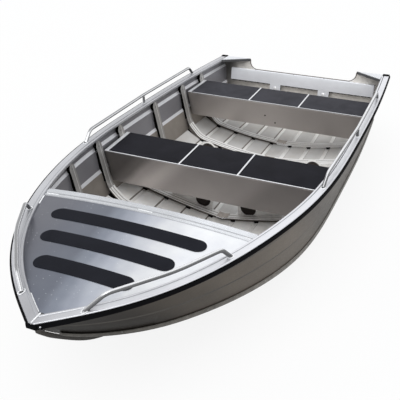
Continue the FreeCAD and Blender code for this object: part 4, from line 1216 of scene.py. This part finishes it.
# rivet heads: on the rub strips at bow and stern, and on the aft thwart's face
for hand in (1.0, -1.0):
    for x in (3.682, 0.06):
        r = row_at(x)
        slope = (CURVES[0](x + 0.001) - CURVES[0](x - 0.001)) / 0.002
        normal = Vector((-slope, hand, 0)).normalized()
        bright.dome((x, hand * (r.beam + 0.0084 * r.wide), r.sheer - 0.0165), 0.0045, 0.0012,
                    normal)
for y, z in ((-0.06, 0.382), (0.023, 0.333)):
    dark.dome((AFT_THWART_FORE + 0.0002, y, z), 0.006, 0.0012, (1, 0, 0))
bright.make("bright_fittings", M_STEEL, slot="bright_steel")
dark.make("dark_holes_and_painted_shadows", M_DARK, slot="pad_plastic")
shade.make("bearer_hole_painted_shade", M_HOLE, slot="pad_plastic")

# ---------------- more welds
for hand in (1.0, -1.0):
    # along the stern corner plates' inner edges
    inner0 = STATION_ROWS[0].beam - GUNWALE
    welds.bead([Vector((0.012, hand * (inner0 - 0.002), TOP0 + 0.0006)),
                Vector((0.07, hand * (row_at(0.07).beam - GUNWALE - 0.002),
                        row_at(0.07).sheer + 0.0006))], 0.0036)
# the gunwales' mitre at the bow
mitre = [Vector((x, 0.0, CURVES[1](x) + 0.0008)) for x in (3.622, 3.64, 3.66, 3.68, 3.689)]
welds.bead(mitre, 0.0042)
welds.make("weld_beads", M_WELD, slot=EXTRUDED, angle=60)

# ---------------- floor, light, camera
WHITE = (1, 1, 1, 1)
FLOOR_COLOUR, SKY_COLOUR = (0.93, 0.93, 0.93, 1.0), (0.96, 0.98, 1.0, 1.0)
FLOOR_WHITE = 0.88                 # how far the camera sees the floor as plain white
FLOOR_REACH, FLOOR_DROP = 40.0, -0.0005
SKY_LIGHT, SUN_LIGHT, SUN_SPREAD = 0.6, 1.65, 50.0
SUN_WAY = Vector((-0.55, -0.08, -1.0))

floor_mat = bpy.data.materials.new("studio_floor")
make = Shader(floor_mat)
matt = make.feed(make.nodes["Principled BSDF"], {"Base Color": FLOOR_COLOUR, "Roughness": 0.9,
                                                 "Specular IOR Level": 0.1})
glow = make.add("Emission", {"Color": WHITE, "Strength": 1.0})
seen = make.add("LightPath", {})["Is Camera Ray"]
both = make.add("MixShader", {0: make.maths("MULTIPLY", seen, FLOOR_WHITE), 1: matt[0],
                              2: glow[0]})
make.feed(make.nodes["Material Output"], {"Surface": both[0]})
me = bpy.data.meshes.new("studio_floor")
me.from_pydata([(x * FLOOR_REACH, y * FLOOR_REACH, FLOOR_DROP)
                for x, y in ((-1, -1), (1, -1), (1, 1), (-1, 1))], [], [(0, 1, 2, 3)])
me.materials.append(floor_mat)
floor = put("studio_floor", me)

world = bpy.data.worlds.new("studio")
bpy.context.scene.world = world
make = Shader(world)
sky = make.feed(make.nodes["Background"], {"Color": SKY_COLOUR, "Strength": SKY_LIGHT})
plain = make.add("Background", {"Color": WHITE, "Strength": 1.0})
ray = make.add("LightPath", {})
seen = make.maths("MAXIMUM", ray["Is Camera Ray"], ray["Is Glossy Ray"])
seen = make.maths("MAXIMUM", seen, ray["Is Transmission Ray"])
both = make.add("MixShader", {0: seen, 1: sky[0], 2: plain[0]})
make.feed(make.nodes["World Output"], {"Surface": both[0]})

sun = bpy.data.lights.new("soft_key", "SUN")
sun.energy = SUN_LIGHT
sun.angle = math.radians(SUN_SPREAD)
put("soft_key", sun).rotation_euler = SUN_WAY.to_track_quat("-Z", "Y").to_euler()

LENS, SENSOR, NEAR = 60.92, 36.0, 0.05
CAMERA_AT = (3.4434, 1.5318, 2.4676)
YAW, PITCH, ROLL = (math.radians(a) for a in (205.43, -30.473, -1.683))
look = Vector((math.cos(PITCH) * math.cos(YAW), math.cos(PITCH) * math.sin(YAW), math.sin(PITCH)))
right = look.cross(Vector((0, 0, 1))).normalized()
up = right.cross(look)
right, up = (right * math.cos(ROLL) + up * math.sin(ROLL),
             up * math.cos(ROLL) - right * math.sin(ROLL))
cam = bpy.data.cameras.new("camera")
cam.lens, cam.sensor_width, cam.clip_start = LENS, SENSOR, NEAR
camera = put("camera", cam)
camera.matrix_world = Matrix([(right[k], up[k], -look[k], CAMERA_AT[k]) for k in range(3)]
                             + [(0, 0, 0, 1)])
bpy.context.scene.camera = camera
bpy.context.scene.view_settings.view_transform = "Standard"
